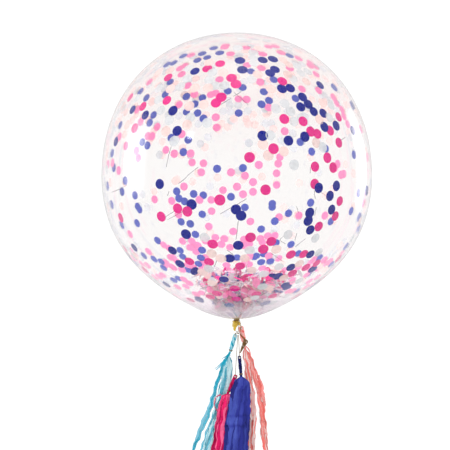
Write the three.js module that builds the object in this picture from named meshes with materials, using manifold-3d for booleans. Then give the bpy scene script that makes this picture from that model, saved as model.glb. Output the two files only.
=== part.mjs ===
// A giant clear latex balloon with a tail of tissue-paper tassels on gold thread.
// Millimetres, +Z up. The origin is on the neck's axis, at the middle of the thread
// wound round the neck, where the balloon is held. The front faces -Y.

import * as THREE from "three";
import { mergeVertices } from "three/addons/utils/BufferGeometryUtils.js";
import Module from "manifold-3d";

const wasm = await Module();
wasm.setup();

// Driving dimensions of the balloon
const BALLOON_DIAMETER = 800;
const BODY_HEIGHT = 844; // from the top of the neck to the crown
const WIDEST_HEIGHT = 422; // of the widest ring above the top of the neck
const CROWN_FULLNESS = 2.12; // exponent of the upper half's curve, 2 is an ellipse
const NECK_TAPER = 0.3; // how much narrower than an ellipse the lower half ends
const NECK_RADIUS = 6;
const NECK_LENGTH = 8; // bare neck between the body and the knot

// Driving dimensions of the knot, and of the mouth that sticks out of its right side
const KNOT_WIDTH = 19;
const KNOT_HEIGHT = 24;
const KNOT_DEPTH = 20;
const KNOT_SHIFT = 3.5; // of the knot's middle, to the left of the axis
const KNOT_TIP = 7; // of the drop-shaped fold below the knot
const KNOT_STRAND = 3.2; // radius of the latex strand that crosses the knot
const STRAND_SLANT = 38; // degrees from level
const MOUTH_LENGTH = 15;
const MOUTH_RADIUS = 7.5;
const MOUTH_LIP = 1.6; // radius of the rolled lip
const MOUTH_LEAN = 78; // degrees from plumb, to the right

// Driving dimensions of the gold thread
const THREAD_DIAMETER = 1.6;
const NECK_TURNS = 3;
const TIE_TURNS = 2;
const LASHED_TIE_TURNS = 4; // of the coral tassel's tie
const GATHER_DROP = 14; // from the underside of the knot to the gathering knot
const GATHER_SHIFT = 5; // of the gathering knot, to the right of the axis
const GATHER_RADIUS = 1.9; // of the ring that the gathering knot is tied on
const GAP = 0.3; // between touching pieces
const LASHING_DIAMETER = 3.2; // the lashing is doubled thread
const LASHING_CLEARANCE = 1.2; // more room for it at the gathering knot
// Places of the lashing to the right of, behind and above the coral tassel's tie
const LASHING_TURNS = [
  [-2, -13.5, 18],
  [10, -4, 7],
  [0, -16, -6],
];
const LASHING_END = [1.8, 2.6, 14.5]; // the same, from the navy tassel's eye
const SLING_SHOULDER = 4; // of a sling's widest bend, above the middle of the knot
const SLING_TUCK = 3; // how far it comes back in on its way down
const SLING_FOOT = 2; // of where it does, above the underside of the knot

// Driving dimensions of one tassel
const HEAD_LENGTH = 54; // from the head's top to the tie
const HEAD_TOP_DEPTH = 5; // the head is pressed flat at its eye
const HEAD_TWIST = 1.25; // turns of the two strands along the head
const STRAND_RELIEF = 0.14; // depth of the groove between the strands, as a share
const EYE_RADIUS = 2.6;
const EYE_DROP = 6; // of the eye's centre below the head's top
const PINCH_RADIUS = 4; // of the head where the tie grips it
const HEAD_ROUNDING = 1.5; // of the head's top edge
const GRIP_MARGIN = 1; // of the pinch above and below the tie
const HEAD_TAPER = 5; // length over which the head narrows to the pinch
const HUB_LENGTH = 9; // of the head below the tie, inside the fringe
const FRINGE_LENGTH = 345;
const STRIP_COUNT = 8;
const STRIP_WIDTH = 19;
const STRIP_THICKNESS = 2.6;
const STRIP_ROOT_WIDTH = 5;
const STRIP_RAGGEDNESS = 30; // spread of the strips' lengths
const STRIP_HEADING = 17; // degrees by which the strips' roots turn from each other
const STRIP_TWIST = 34; // degrees of twist along a strip, at most
const STRIP_SWAY = 7.6; // how far a strip swings aside
const SHOULDER_LENGTH = 18; // below the tie, over which the fringe opens
const TIP_LENGTH = 69; // over which a strip narrows to its tip
const TIP_WIDTH = 11.4;
const FRINGE_DEPTH = 12; // of the outermost strips' middles, before and behind

// How each tassel hangs. The head's top is across and back from the gathering knot, and
// drops below it. Leans are degrees from plumb, to the right and to the back. The bow is
// how far the fringe's middle swings to the right of a straight line.
const TASSELS = {
  aqua: {
    across: -8,
    back: 8,
    drop: 4,
    headRadius: 6.2,
    headLean: [-15, 18],
    fringeLean: [-13.8, 1.5],
    bow: 0,
    spread: 27,
    flare: 0.45,
    tieTurns: TIE_TURNS,
    seed: 11,
  },
  magenta: {
    across: -6,
    back: 0,
    drop: 124,
    headRadius: 6,
    headLean: [-24, 4],
    fringeLean: [-7, 0],
    bow: -4,
    spread: 25,
    flare: 0.32,
    tieTurns: TIE_TURNS,
    seed: 23,
  },
  navy: {
    across: 3,
    back: -14,
    drop: 65,
    headRadius: 5.2,
    headLean: [5.3, -10],
    fringeLean: [-3.9, -1.6],
    bow: 0,
    spread: 40,
    flare: 0.27,
    tieTurns: TIE_TURNS,
    seed: 37,
  },
  coral: {
    across: 8,
    back: 7,
    drop: -20,
    headRadius: 8,
    headLean: [11, 8],
    fringeLean: [6.9, 1.6],
    bow: 13,
    spread: 26,
    flare: 0.8,
    tieTurns: LASHED_TIE_TURNS,
    seed: 53,
  },
};

const THREAD_RADIUS = THREAD_DIAMETER / 2;
const KNOT_TOP = -NECK_LENGTH / 2 + 2;
const KNOT_CENTRE = KNOT_TOP - KNOT_HEIGHT / 2;
const KNOT_BOTTOM = KNOT_TOP - KNOT_HEIGHT;
const GATHER_CENTRE = KNOT_BOTTOM - GATHER_DROP;

const LOOKS = {
  latex: { color: 0xf3efe6, roughness: 0.08, metalness: 0, transparent: true, opacity: 0.35 },
  gold: { color: 0xb08a3c, roughness: 0.4, metalness: 0.8 },
  aqua: { color: 0x35b4cf, roughness: 0.75, metalness: 0 },
  magenta: { color: 0xe01e66, roughness: 0.75, metalness: 0 },
  navy: { color: 0x2c3a9e, roughness: 0.75, metalness: 0 },
  coral: { color: 0xf08585, roughness: 0.75, metalness: 0 },
};

const part = new THREE.Group();

function add(name, geometry, look) {
  const mesh = new THREE.Mesh(geometry, new THREE.MeshStandardMaterial(LOOKS[look]));
  mesh.name = name;
  part.add(mesh);
  return mesh;
}

// Solids, joins and cuts

function solid(geometry) {
  const bare = geometry.clone();
  bare.deleteAttribute("normal");
  bare.deleteAttribute("uv");
  const merged = mergeVertices(bare, 1e-4);
  const vertProperties = new Float32Array(merged.attributes.position.array);
  const triVerts = new Uint32Array(merged.index.array);
  return new wasm.Manifold(new wasm.Mesh({ numProp: 3, vertProperties, triVerts }));
}

function geometryOf(manifold) {
  const mesh = manifold.getMesh();
  const geometry = new THREE.BufferGeometry();
  geometry.setAttribute("position", new THREE.BufferAttribute(mesh.vertProperties, 3));
  geometry.setIndex(new THREE.BufferAttribute(mesh.triVerts, 1));
  return geometry;
}

function joined(solids) {
  return solids.reduce((whole, next) => whole.add(next));
}

// The outer shell alone: the pockets closed in between crossing strips are filled.
function filled(manifold) {
  return manifold.decompose().reduce((a, b) => (a.volume() > b.volume() ? a : b));
}

// Moves each vertex of a geometry to the place that a function gives for it.
function reshaped(geometry, place) {
  const positions = geometry.attributes.position;
  const vertex = new THREE.Vector3();
  for (let i = 0; i < positions.count; i += 1) {
    vertex.fromBufferAttribute(positions, i);
    const moved = place(vertex);
    positions.setXYZ(i, moved.x, moved.y, moved.z);
  }
  return geometry;
}

// A profile of [radius, height] pairs turned about the Z axis.
function turned(profile, segments) {
  const points = profile.map(([radius, height]) => new THREE.Vector2(radius, height));
  return new THREE.LatheGeometry(points, segments).rotateX(Math.PI / 2);
}

// The balloon

function bodyProfile() {
  const radius = BALLOON_DIAMETER / 2;
  const neckTop = NECK_LENGTH / 2;
  const widest = neckTop + WIDEST_HEIGHT;
  const crownRise = BODY_HEIGHT - WIDEST_HEIGHT;
  const rows = 10;
  const profile = [
    [0, KNOT_CENTRE],
    [NECK_RADIUS, KNOT_CENTRE],
    [NECK_RADIUS, neckTop],
  ];
  for (let i = 1; i <= rows; i += 1) {
    const angle = (Math.PI / 2) * (i / rows);
    const share = Math.cos(angle);
    const wide = radius * Math.sin(angle) * (1 - NECK_TAPER * share ** 4);
    profile.push([Math.max(wide, NECK_RADIUS), widest - WIDEST_HEIGHT * share]);
  }
  for (let i = rows - 1; i >= 0; i -= 1) {
    const angle = (Math.PI / 2) * (i / rows);
    const power = 2 / CROWN_FULLNESS;
    const wide = i === 0 ? 0 : radius * Math.sin(angle) ** power;
    profile.push([wide, widest + crownRise * Math.cos(angle) ** power]);
  }
  return profile;
}

function mouthProfile() {
  const lipCentre = MOUTH_RADIUS - MOUTH_LIP;
  const lipSteps = 5;
  const profile = [
    [0, MOUTH_LENGTH],
    [MOUTH_RADIUS * 0.5, MOUTH_LENGTH],
    [MOUTH_RADIUS * 0.62, MOUTH_LENGTH * 0.5],
    [lipCentre, MOUTH_LIP * 2],
  ];
  for (let i = 1; i <= lipSteps; i += 1) {
    const angle = Math.PI / 2 - (Math.PI * i) / lipSteps;
    profile.push([lipCentre + MOUTH_LIP * Math.cos(angle), MOUTH_LIP * (1 + Math.sin(angle))]);
  }
  profile.push([lipCentre * 0.55, MOUTH_LIP], [0, MOUTH_LIP * 1.6]);
  return profile.reverse();
}

function balloon() {
  const core = new THREE.SphereGeometry(0.5, 12, 8)
    .scale(KNOT_WIDTH, KNOT_DEPTH, KNOT_HEIGHT)
    .translate(-KNOT_SHIFT, 0, KNOT_CENTRE);
  const tip = new THREE.ConeGeometry(KNOT_STRAND * 1.5, KNOT_TIP * 2, 10)
    .rotateX(-Math.PI / 2)
    .translate(-KNOT_SHIFT * 1.4, 0, KNOT_BOTTOM);
  const strand = new THREE.TorusGeometry(KNOT_WIDTH / 2 - 1, KNOT_STRAND, 7, 12)
    .rotateY(THREE.MathUtils.degToRad(STRAND_SLANT))
    .translate(-KNOT_SHIFT, 0, KNOT_CENTRE);
  const mouth = turned(mouthProfile(), 12)
    .translate(0, 0, -MOUTH_LENGTH)
    .scale(1, 0.62, 1)
    .rotateY(-THREE.MathUtils.degToRad(MOUTH_LEAN))
    .translate(-KNOT_SHIFT, 0, KNOT_CENTRE + KNOT_HEIGHT * 0.22);
  const pieces = [turned(bodyProfile(), 36), core, tip, strand, mouth];
  return geometryOf(joined(pieces.map(solid)));
}

// Gold thread

// Turns of thread laid side by side round something of a given radius.
function wound(innerRadius, turns, segments) {
  const inner = innerRadius + GAP;
  const height = turns * THREAD_DIAMETER;
  const arcSteps = 3;
  const profile = [[inner, -height / 2]];
  for (let turn = 0; turn < turns; turn += 1) {
    const middle = -height / 2 + THREAD_DIAMETER * (turn + 0.5);
    for (let i = 0; i < arcSteps; i += 1) {
      const angle = -Math.PI / 3 + ((Math.PI * 2) / 3) * (i / (arcSteps - 1));
      const out = inner + THREAD_RADIUS * (1 + Math.cos(angle));
      profile.push([out, middle + THREAD_RADIUS * Math.sin(angle)]);
    }
  }
  profile.push([inner, height / 2], [inner, -height / 2]);
  return turned(profile, segments);
}

function threadAlong(points, diameter) {
  const route = new THREE.CatmullRomCurve3(points, false, "centripetal");
  const section = new THREE.Shape();
  section.absarc(0, 0, diameter / 2, 0, Math.PI * 2);
  const steps = Math.round(route.getLength() / (2.9 * diameter));
  return new THREE.ExtrudeGeometry(section, {
    steps,
    curveSegments: 4,
    bevelEnabled: false,
    extrudePath: route,
  });
}

function at(x, y, z) {
  return new THREE.Vector3(x, y, z);
}

const GATHER = at(GATHER_SHIFT, 0, GATHER_CENTRE);
const WINDING_REACH = NECK_RADIUS + GAP * 2 + THREAD_DIAMETER + THREAD_RADIUS;
const KNOT_CLEARANCE = KNOT_DEPTH / 2 + KNOT_STRAND + GAP;

// A point beside the neck's winding, at a bearing in degrees from the right.
function besideWinding(bearing) {
  const angle = THREE.MathUtils.degToRad(bearing);
  return at(WINDING_REACH * Math.cos(angle), WINDING_REACH * Math.sin(angle), THREAD_DIAMETER);
}

// The points of a thread that goes in through an eye from the front and up behind it.
function throughEye(eye) {
  const clear = HEAD_TOP_DEPTH / 2 + GAP * 2 + THREAD_RADIUS;
  const places = [
    [0, -clear - 0.6, EYE_DROP],
    [0, -clear, 0.6],
    [0, 0, -0.9],
    [0, clear, 0.6],
    [0, clear + 0.4, EYE_DROP],
  ];
  return places.map(([x, y, z]) => at(x, y, z).add(eye));
}

// Tassels

// A fixed number from 0 to 1 for each seed.
function scatter(seed) {
  const value = Math.sin(seed * 127.1) * 43758.5453;
  return value - Math.floor(value);
}

function leaning([toRight, toBack], length) {
  const right = Math.sin(THREE.MathUtils.degToRad(toRight));
  const back = Math.sin(THREE.MathUtils.degToRad(toBack));
  return at(right, back, -Math.sqrt(1 - right ** 2 - back ** 2)).multiplyScalar(length);
}

// Where a tassel's head starts, its eye's centre, and where its tie sits.
function placesOf(tassel) {
  const top = at(tassel.across, tassel.back, -tassel.drop).add(GATHER);
  const eye = leaning(tassel.headLean, EYE_DROP).add(top);
  const tie = leaning(tassel.headLean, HEAD_LENGTH).add(top);
  return { top, eye, tie };
}

// Rows of a head: distance from its top, half its width, and its depth as a share.
function headRows({ headRadius, tieTurns }) {
  const flat = HEAD_TOP_DEPTH / 2 / headRadius;
  const grip = (tieTurns / 2) * THREAD_DIAMETER + GRIP_MARGIN;
  return [
    [0, headRadius * 0.62, flat * 0.8],
    [HEAD_ROUNDING, headRadius * 0.9, flat],
    [EYE_DROP, headRadius, flat],
    [EYE_DROP * 1.7, headRadius, flat * 1.1],
    [EYE_DROP * 3, headRadius, 0.85],
    [HEAD_LENGTH * 0.48, headRadius, 1],
    [HEAD_LENGTH * 0.64, headRadius, 1],
    [HEAD_LENGTH - grip - HEAD_TAPER, headRadius * 0.94, 1],
    [HEAD_LENGTH - grip, PINCH_RADIUS, 1],
    [HEAD_LENGTH + grip, PINCH_RADIUS, 1],
    [HEAD_LENGTH + grip + HUB_LENGTH, PINCH_RADIUS * 0.6, 1],
  ];
}

function head(tassel, { top, eye }) {
  const rows = headRows(tassel);
  const down = leaning(tassel.headLean, 1);
  const across = at(0, 1, 0).cross(down).negate().normalize();
  const back = down.clone().cross(across).negate().normalize();
  const body = new THREE.CylinderGeometry(1, 1, 1, 12, rows.length - 1);
  reshaped(body, (v) => {
    const row = Math.round((0.5 - v.y) * (rows.length - 1));
    const [along, wide, deep] = rows[row];
    const angle = Math.atan2(v.z, v.x);
    const turn = (HEAD_TWIST * 2 * Math.PI * along) / HEAD_LENGTH;
    const free = row > 3 && row < 8 ? 1 : 0;
    const lobe = 1 - free * STRAND_RELIEF * (0.5 + 0.5 * Math.cos(2 * (angle - turn)));
    const out = Math.hypot(v.x, v.z) * wide * lobe;
    return top.clone()
      .addScaledVector(down, along)
      .addScaledVector(across, out * Math.cos(angle))
      .addScaledVector(back, -out * Math.sin(angle) * deep);
  });
  const hole = new THREE.CylinderGeometry(EYE_RADIUS, EYE_RADIUS, HEAD_TOP_DEPTH * 3, 8)
    .translate(eye.x, eye.y, eye.z);
  return solid(body).subtract(solid(hole));
}

function strip(tassel, index, route) {
  const seed = tassel.seed + index * 7;
  const levels = [-1, 0.33, -0.33, 1];
  const sideways = (2 * (index + 0.5)) / STRIP_COUNT - 1;
  const level = levels[index % levels.length];
  const length = 1 - (STRIP_RAGGEDNESS / FRINGE_LENGTH) * scatter(seed);
  const heading = (scatter(seed + 1) - 0.5) * THREE.MathUtils.degToRad(STRIP_HEADING);
  const twist = (scatter(seed + 2) - 0.5) * THREE.MathUtils.degToRad(STRIP_TWIST);
  const sway = (scatter(seed + 3) - 0.5) * STRIP_SWAY;
  const tipShare = TIP_LENGTH / FRINGE_LENGTH;
  const box = new THREE.BoxGeometry(1, 1, 1, 1, 1, 6);
  return reshaped(box, (v) => {
    const share = (0.5 - v.z) ** 1.5;
    const opened = Math.min(1, (share * FRINGE_LENGTH) / SHOULDER_LENGTH);
    const tip = Math.max(0, (share - 1 + tipShare) / tipShare);
    const full = STRIP_WIDTH + (TIP_WIDTH - STRIP_WIDTH) * tip;
    const wide = STRIP_ROOT_WIDTH + (full - STRIP_ROOT_WIDTH) * opened;
    const angle = heading + twist * share;
    const spread = tassel.spread * share ** tassel.flare;
    const centre = route.getPointAt(share * length);
    const offset = sideways * spread + sway * Math.sin(share * 5 + seed);
    const deep = level * FRINGE_DEPTH * Math.min(1, share * 6);
    const across = at(Math.cos(angle), Math.sin(angle), 0);
    const through = at(-Math.sin(angle), Math.cos(angle), 0);
    return centre
      .add(at(offset * opened, deep, 0))
      .addScaledVector(across, v.x * wide)
      .addScaledVector(through, v.y * STRIP_THICKNESS);
  });
}

function tasselOf(tassel) {
  const places = placesOf(tassel);
  const grip = (tassel.tieTurns / 2) * THREAD_DIAMETER + STRIP_ROOT_WIDTH / 2;
  const root = leaning(tassel.headLean, grip).add(places.tie);
  const end = leaning(tassel.fringeLean, FRINGE_LENGTH).add(places.tie);
  const shoulder = leaning(tassel.headLean, HUB_LENGTH).add(root);
  const middle = shoulder.clone().lerp(end, 0.45);
  middle.x += tassel.bow;
  const route = new THREE.CatmullRomCurve3([root, shoulder, middle, end], false, "centripetal");
  const strips = Array.from({ length: STRIP_COUNT }, (_, i) => solid(strip(tassel, i, route)));
  return geometryOf(filled(joined([head(tassel, places), ...strips])));
}

function tieOf(tassel) {
  const { tie } = placesOf(tassel);
  const down = leaning(tassel.headLean, 1);
  const turn = new THREE.Quaternion().setFromUnitVectors(at(0, 0, -1), down);
  return wound(PINCH_RADIUS, tassel.tieTurns, 12)
    .applyQuaternion(turn)
    .translate(tie.x, tie.y, tie.z);
}

// Thread routes
const KNOT_LEFT = -KNOT_SHIFT * 1.5;
const CLEAR_OF_GATHER = GATHER_RADIUS * 1.5 + THREAD_DIAMETER + GAP * 2;
const EYES = Object.fromEntries(
  Object.entries(TASSELS).map(([colour, tassel]) => [colour, placesOf(tassel).eye]),
);
const CORAL_TIE = placesOf(TASSELS.coral).tie;

// A point clear of the gathering knot, in a direction to the right, to the back and up.
function besideGather(toRight, toBack, up, more = 0) {
  return at(toRight, toBack, up).normalize().multiplyScalar(CLEAR_OF_GATHER + more).add(GATHER);
}

const ROUTES = {
  sling_left: [
    besideWinding(130),
    at(KNOT_LEFT, KNOT_CLEARANCE, KNOT_CENTRE + SLING_SHOULDER),
    at(KNOT_LEFT, KNOT_CLEARANCE - SLING_TUCK, KNOT_BOTTOM + SLING_FOOT),
    at(KNOT_LEFT + SLING_FOOT, SLING_FOOT, KNOT_BOTTOM - SLING_FOOT - SLING_SHOULDER),
    besideGather(-2, 0.5, 4),
  ],
  sling_right: [
    besideWinding(-60),
    at(GATHER_SHIFT, -KNOT_CLEARANCE, KNOT_CENTRE + SLING_SHOULDER),
    at(GATHER_SHIFT, -KNOT_CLEARANCE + SLING_TUCK, KNOT_BOTTOM + SLING_FOOT),
    besideGather(0.5, -1.5, 4),
  ],
  thread_navy: [besideGather(0.6, -1.5, -3), ...throughEye(EYES.navy)],
  thread_magenta: [besideGather(-1, -0.5, -4), ...throughEye(EYES.magenta)],
  thread_aqua: [
    besideGather(-4, -0.6, 0),
    ...throughEye(EYES.aqua),
    besideGather(-1, 3, 4),
  ],
  thread_coral: [besideWinding(25), ...throughEye(EYES.coral).reverse(), besideGather(4, 0.5, 2)],
  lashing: [
    besideGather(4, -2.4, -0.6, LASHING_CLEARANCE),
    ...LASHING_TURNS.map((place) => at(...place).add(CORAL_TIE)),
    at(...LASHING_END).add(EYES.navy),
  ],
};

add("balloon", balloon(), "latex");
add("neck_winding", wound(NECK_RADIUS, NECK_TURNS, 14), "gold");
for (const [name, points] of Object.entries(ROUTES)) {
  const diameter = name === "lashing" ? LASHING_DIAMETER : THREAD_DIAMETER;
  add(name, threadAlong(points, diameter), "gold");
}

const knotTube = new THREE.TorusKnotGeometry(GATHER_RADIUS, THREAD_RADIUS, 22, 5, 2, 3);
add("gathering_knot", knotTube.translate(GATHER.x, GATHER.y, GATHER.z), "gold");

for (const [colour, tassel] of Object.entries(TASSELS)) {
  add(`tassel_${colour}`, tasselOf(tassel), colour);
  add(`tie_${colour}`, tieOf(tassel), "gold");
}

export default part;
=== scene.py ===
import math
import random

import bmesh
import bpy
from bpy.props import (
    FloatProperty,
    FloatVectorProperty,
    IntProperty,
    PointerProperty,
)
from mathutils import Matrix, Vector


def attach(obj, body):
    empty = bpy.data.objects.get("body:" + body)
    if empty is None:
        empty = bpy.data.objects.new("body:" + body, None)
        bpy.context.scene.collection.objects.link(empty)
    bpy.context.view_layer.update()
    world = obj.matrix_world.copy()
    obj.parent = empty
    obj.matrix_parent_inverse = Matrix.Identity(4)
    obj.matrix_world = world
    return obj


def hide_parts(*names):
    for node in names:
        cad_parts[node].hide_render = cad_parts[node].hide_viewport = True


bl_info = {
    "name": "Confetti balloon with tassel tail",
    "version": (1, 0, 0),
    "blender": (4, 5, 0),
    "location": "3D View > Sidebar > Balloon",
    "description": "Builds a clear latex balloon with tissue confetti and tassels",
    "category": "Object",
}

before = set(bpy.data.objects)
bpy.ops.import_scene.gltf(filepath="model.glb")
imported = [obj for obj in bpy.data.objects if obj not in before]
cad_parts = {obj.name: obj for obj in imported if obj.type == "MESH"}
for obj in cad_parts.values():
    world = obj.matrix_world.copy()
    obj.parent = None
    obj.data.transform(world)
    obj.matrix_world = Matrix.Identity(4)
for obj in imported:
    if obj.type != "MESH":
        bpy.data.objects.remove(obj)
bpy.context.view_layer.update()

# Routes of the gold threads, in metres
ROUTES = {
    "sling_left": [
        (-0.00579, 0.00689, 0.0016), (-0.00525, 0.0135, -0.01),
        (-0.00525, 0.0105, -0.024), (-0.00325, 0.002, -0.032),
        (0.00276, 0.00056, -0.03551),
    ],
    "sling_right": [
        (0.0045, -0.00779, 0.0016), (0.005, -0.0135, -0.01),
        (0.005, -0.0105, -0.024), (0.00559, -0.00176, -0.0353),
    ],
    "thread_navy": [
        (0.00589, -0.00222, -0.04445), (0.00855, -0.01954, -0.10488),
        (0.00855, -0.01894, -0.11028), (0.00855, -0.01504, -0.11178),
        (0.00855, -0.01114, -0.11028), (0.00855, -0.01074, -0.10488),
    ],
    "thread_magenta": [
        (0.00378, -0.00061, -0.04486), (-0.00344, -0.00408, -0.16347),
        (-0.00344, -0.00348, -0.16887), (-0.00344, 0.00042, -0.17037),
        (-0.00344, 0.00432, -0.16887), (-0.00344, 0.00472, -0.16347),
    ],
    "thread_aqua": [
        (0.00001, -0.00075, -0.04), (-0.00455, 0.00535, -0.04349),
        (-0.00455, 0.00595, -0.04889), (-0.00455, 0.00985, -0.05039),
        (-0.00455, 0.01375, -0.04889), (-0.00455, 0.01415, -0.04349),
        (0.00401, 0.00297, -0.03604),
    ],
    "thread_coral": [
        (0.00816, 0.0038, 0.0016), (0.01414, 0.01214, -0.01983),
        (0.01414, 0.01174, -0.02523), (0.01414, 0.00784, -0.02673),
        (0.01414, 0.00394, -0.02523), (0.01414, 0.00334, -0.01983),
        (0.00949, 0.00056, -0.03776),
    ],
    "lashing": [
        (0.01032, -0.00319, -0.0408), (0.0213, 0.00102, -0.05447),
        (0.0333, 0.01052, -0.06547), (0.0233, -0.00148, -0.07847),
        (0.01035, -0.01244, -0.09638),
    ],
}

# Tassels: places in metres, leans in degrees to the right and to the back. The bow is the
# swing of the fringe's middle to the right, the spread is half its width, and the shoulder
# is the length below the tie over which it opens. The bunches are parts of the width, each
# with its share of the strips and its flare, which is low where it spreads early; the outer
# strips of each have the edge tone. Tones above 1 are paler than the tissue's colour and
# those below 1 darker. Alpha is what one layer hides, and lit is the share of the lamps'
# light that goes through a layer.
# Crease heights mark where the strips are darkened, painted shade of folds
TASSELS = {
    "aqua": {
        "top": (-0.003, 0.008, -0.044), "head_radius": 0.0062, "head_lean": (-15, 18),
        "fringe_lean": (-13.8, 1.5), "bow": 0.011, "spread": 0.04, "turns": 2,
        "bunches": ((-1.12, -1.05, 0.1, 0.5), (-0.42, 0.36, 0.9, 0.3)), "seed": 11,
        "head_tone": 1.4, "tones": (2.0, 2.0, 1.9, 1.1), "edge_tone": 0.95, "crease_shade_heights": (),
        "width": 0.75, "shoulder": 0.055, "alpha": 0.55, "lit": 0.985,
    },
    "magenta": {
        "top": (-0.001, 0.0, -0.164), "head_radius": 0.006, "head_lean": (-24, 4),
        "fringe_lean": (-7, 0), "bow": -0.004, "spread": 0.027, "turns": 2,
        "bunches": ((-1.0, 1.0, 1.0, 0.32),), "seed": 23,
        "head_tone": 0.6, "tones": (1.9, 1.6, 1.1, 0.55), "edge_tone": 0.6, "crease_shade_heights": (),
        "width": 0.9, "shoulder": 0.014, "alpha": 0.8, "lit": 0.96,
    },
    "navy": {
        "top": (0.008, -0.014, -0.105), "head_radius": 0.0052, "head_lean": (5.3, -10),
        "fringe_lean": (-3.9, -1.6), "bow": 0.0, "spread": 0.04, "turns": 2,
        "bunches": ((-1.0, 1.0, 1.0, 0.27),), "seed": 37,
        "head_tone": 0.3, "tones": (1.7, 1.25, 0.85, 0.25), "edge_tone": 0.6,
        "crease_shade_heights": (-0.278, -0.308), "width": 0.9, "shoulder": 0.02, "alpha": 0.85,
        "lit": 0.85,
    },
    "coral": {
        "top": (0.013, 0.007, -0.02), "head_radius": 0.008, "head_lean": (11, 8),
        "fringe_lean": (6.9, 1.6), "bow": 0.013, "spread": 0.03, "turns": 4,
        "bunches": ((-1.0, -0.3, 0.6, 0.75), (0.66, 1.0, 0.4, 0.75)), "seed": 53,
        "head_tone": 1.45, "tones": (2.0, 1.9, 1.4, 1.0), "edge_tone": 1.0, "crease_shade_heights": (),
        "width": 0.7, "shoulder": 0.03, "alpha": 0.6, "lit": 0.985,
    },
}

# Loose strips of tissue beside the fringes: width, then the places they pass
WISPS = {
    "aqua": [
        (0.008, [(-0.0185, 0.02, -0.099), (-0.028, 0.014, -0.11), (-0.038, 0.01, -0.125),
                 (-0.046, 0.009, -0.142)]),
        (0.007, [(-0.02, 0.02, -0.101), (-0.033, 0.014, -0.117), (-0.047, 0.01, -0.136),
                 (-0.062, 0.009, -0.15)]),
        (0.006, [(-0.022, 0.02, -0.103), (-0.032, 0.014, -0.111), (-0.043, 0.011, -0.1165)]),
        (0.005, [(-0.036, 0.012, -0.124), (-0.05, 0.01, -0.134), (-0.067, 0.009, -0.146)]),
    ],
    "magenta": [
        (0.004, [(-0.0469, -0.004, -0.2216), (-0.0573, -0.006, -0.2287),
                 (-0.0643, -0.006, -0.2428), (-0.0628, -0.006, -0.2631),
                 (-0.0588, -0.006, -0.272)]),
    ],
    "navy": [],
    "coral": [
        (0.004, [(0.0275, 0.0165, -0.08), (0.0389, 0.016, -0.0915), (0.043, 0.016, -0.1059),
                 (0.0559, 0.017, -0.1573)]),
        (0.011, [(0.0644, 0.019, -0.1686), (0.0816, 0.02, -0.2286), (0.0844, 0.022, -0.2972),
                 (0.0916, 0.023, -0.3686), (0.095, 0.024, -0.4)]),
    ],
}

# Thin grey film strips on the film: the bearing and height in mm of the places they pass
TINSEL = [
    ((-26, 487), (-27, 467), (-28, 434)), ((-15, 431), (-19, 411), (-20, 404), (-23, 390)),
    ((-27, 370), (-28, 359)), ((-49, 391), (-53, 384), (-63, 374)), ((-3, 327), (-7, 311)),
    ((-25, 321), (-30, 304)), ((0, 293), (-1, 244)), ((48, 520), (45, 511)),
    ((28, 433), (28, 417)), ((30, 373), (31, 351)), ((32, 329), (32, 306)),
    ((3, 350), (-3, 325)), ((20, 258), (18, 243), (21, 232)), ((25, 260), (25, 241)),
    ((30, 246), (26, 224)), ((23, 331), (24, 314)), ((1, 629), (-2, 616)),
    ((-3, 611), (-7, 595)), ((15, 208), (23, 183)), ((-10, 190), (-12, 170)),
    ((-2, 203), (-5, 217)), ((181, 728), (172, 690)), ((139, 412), (131, 380)),
    ((-153, 330), (-143, 300)),
]

# The crease where the film is gathered towards the neck, given in the same way
# A pale tube along it is a painted highlight of the crease
PLEAT = [(-3, 21), (4, 32), (10, 41), (15, 50), (19, 58), (24, 64)]

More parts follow.
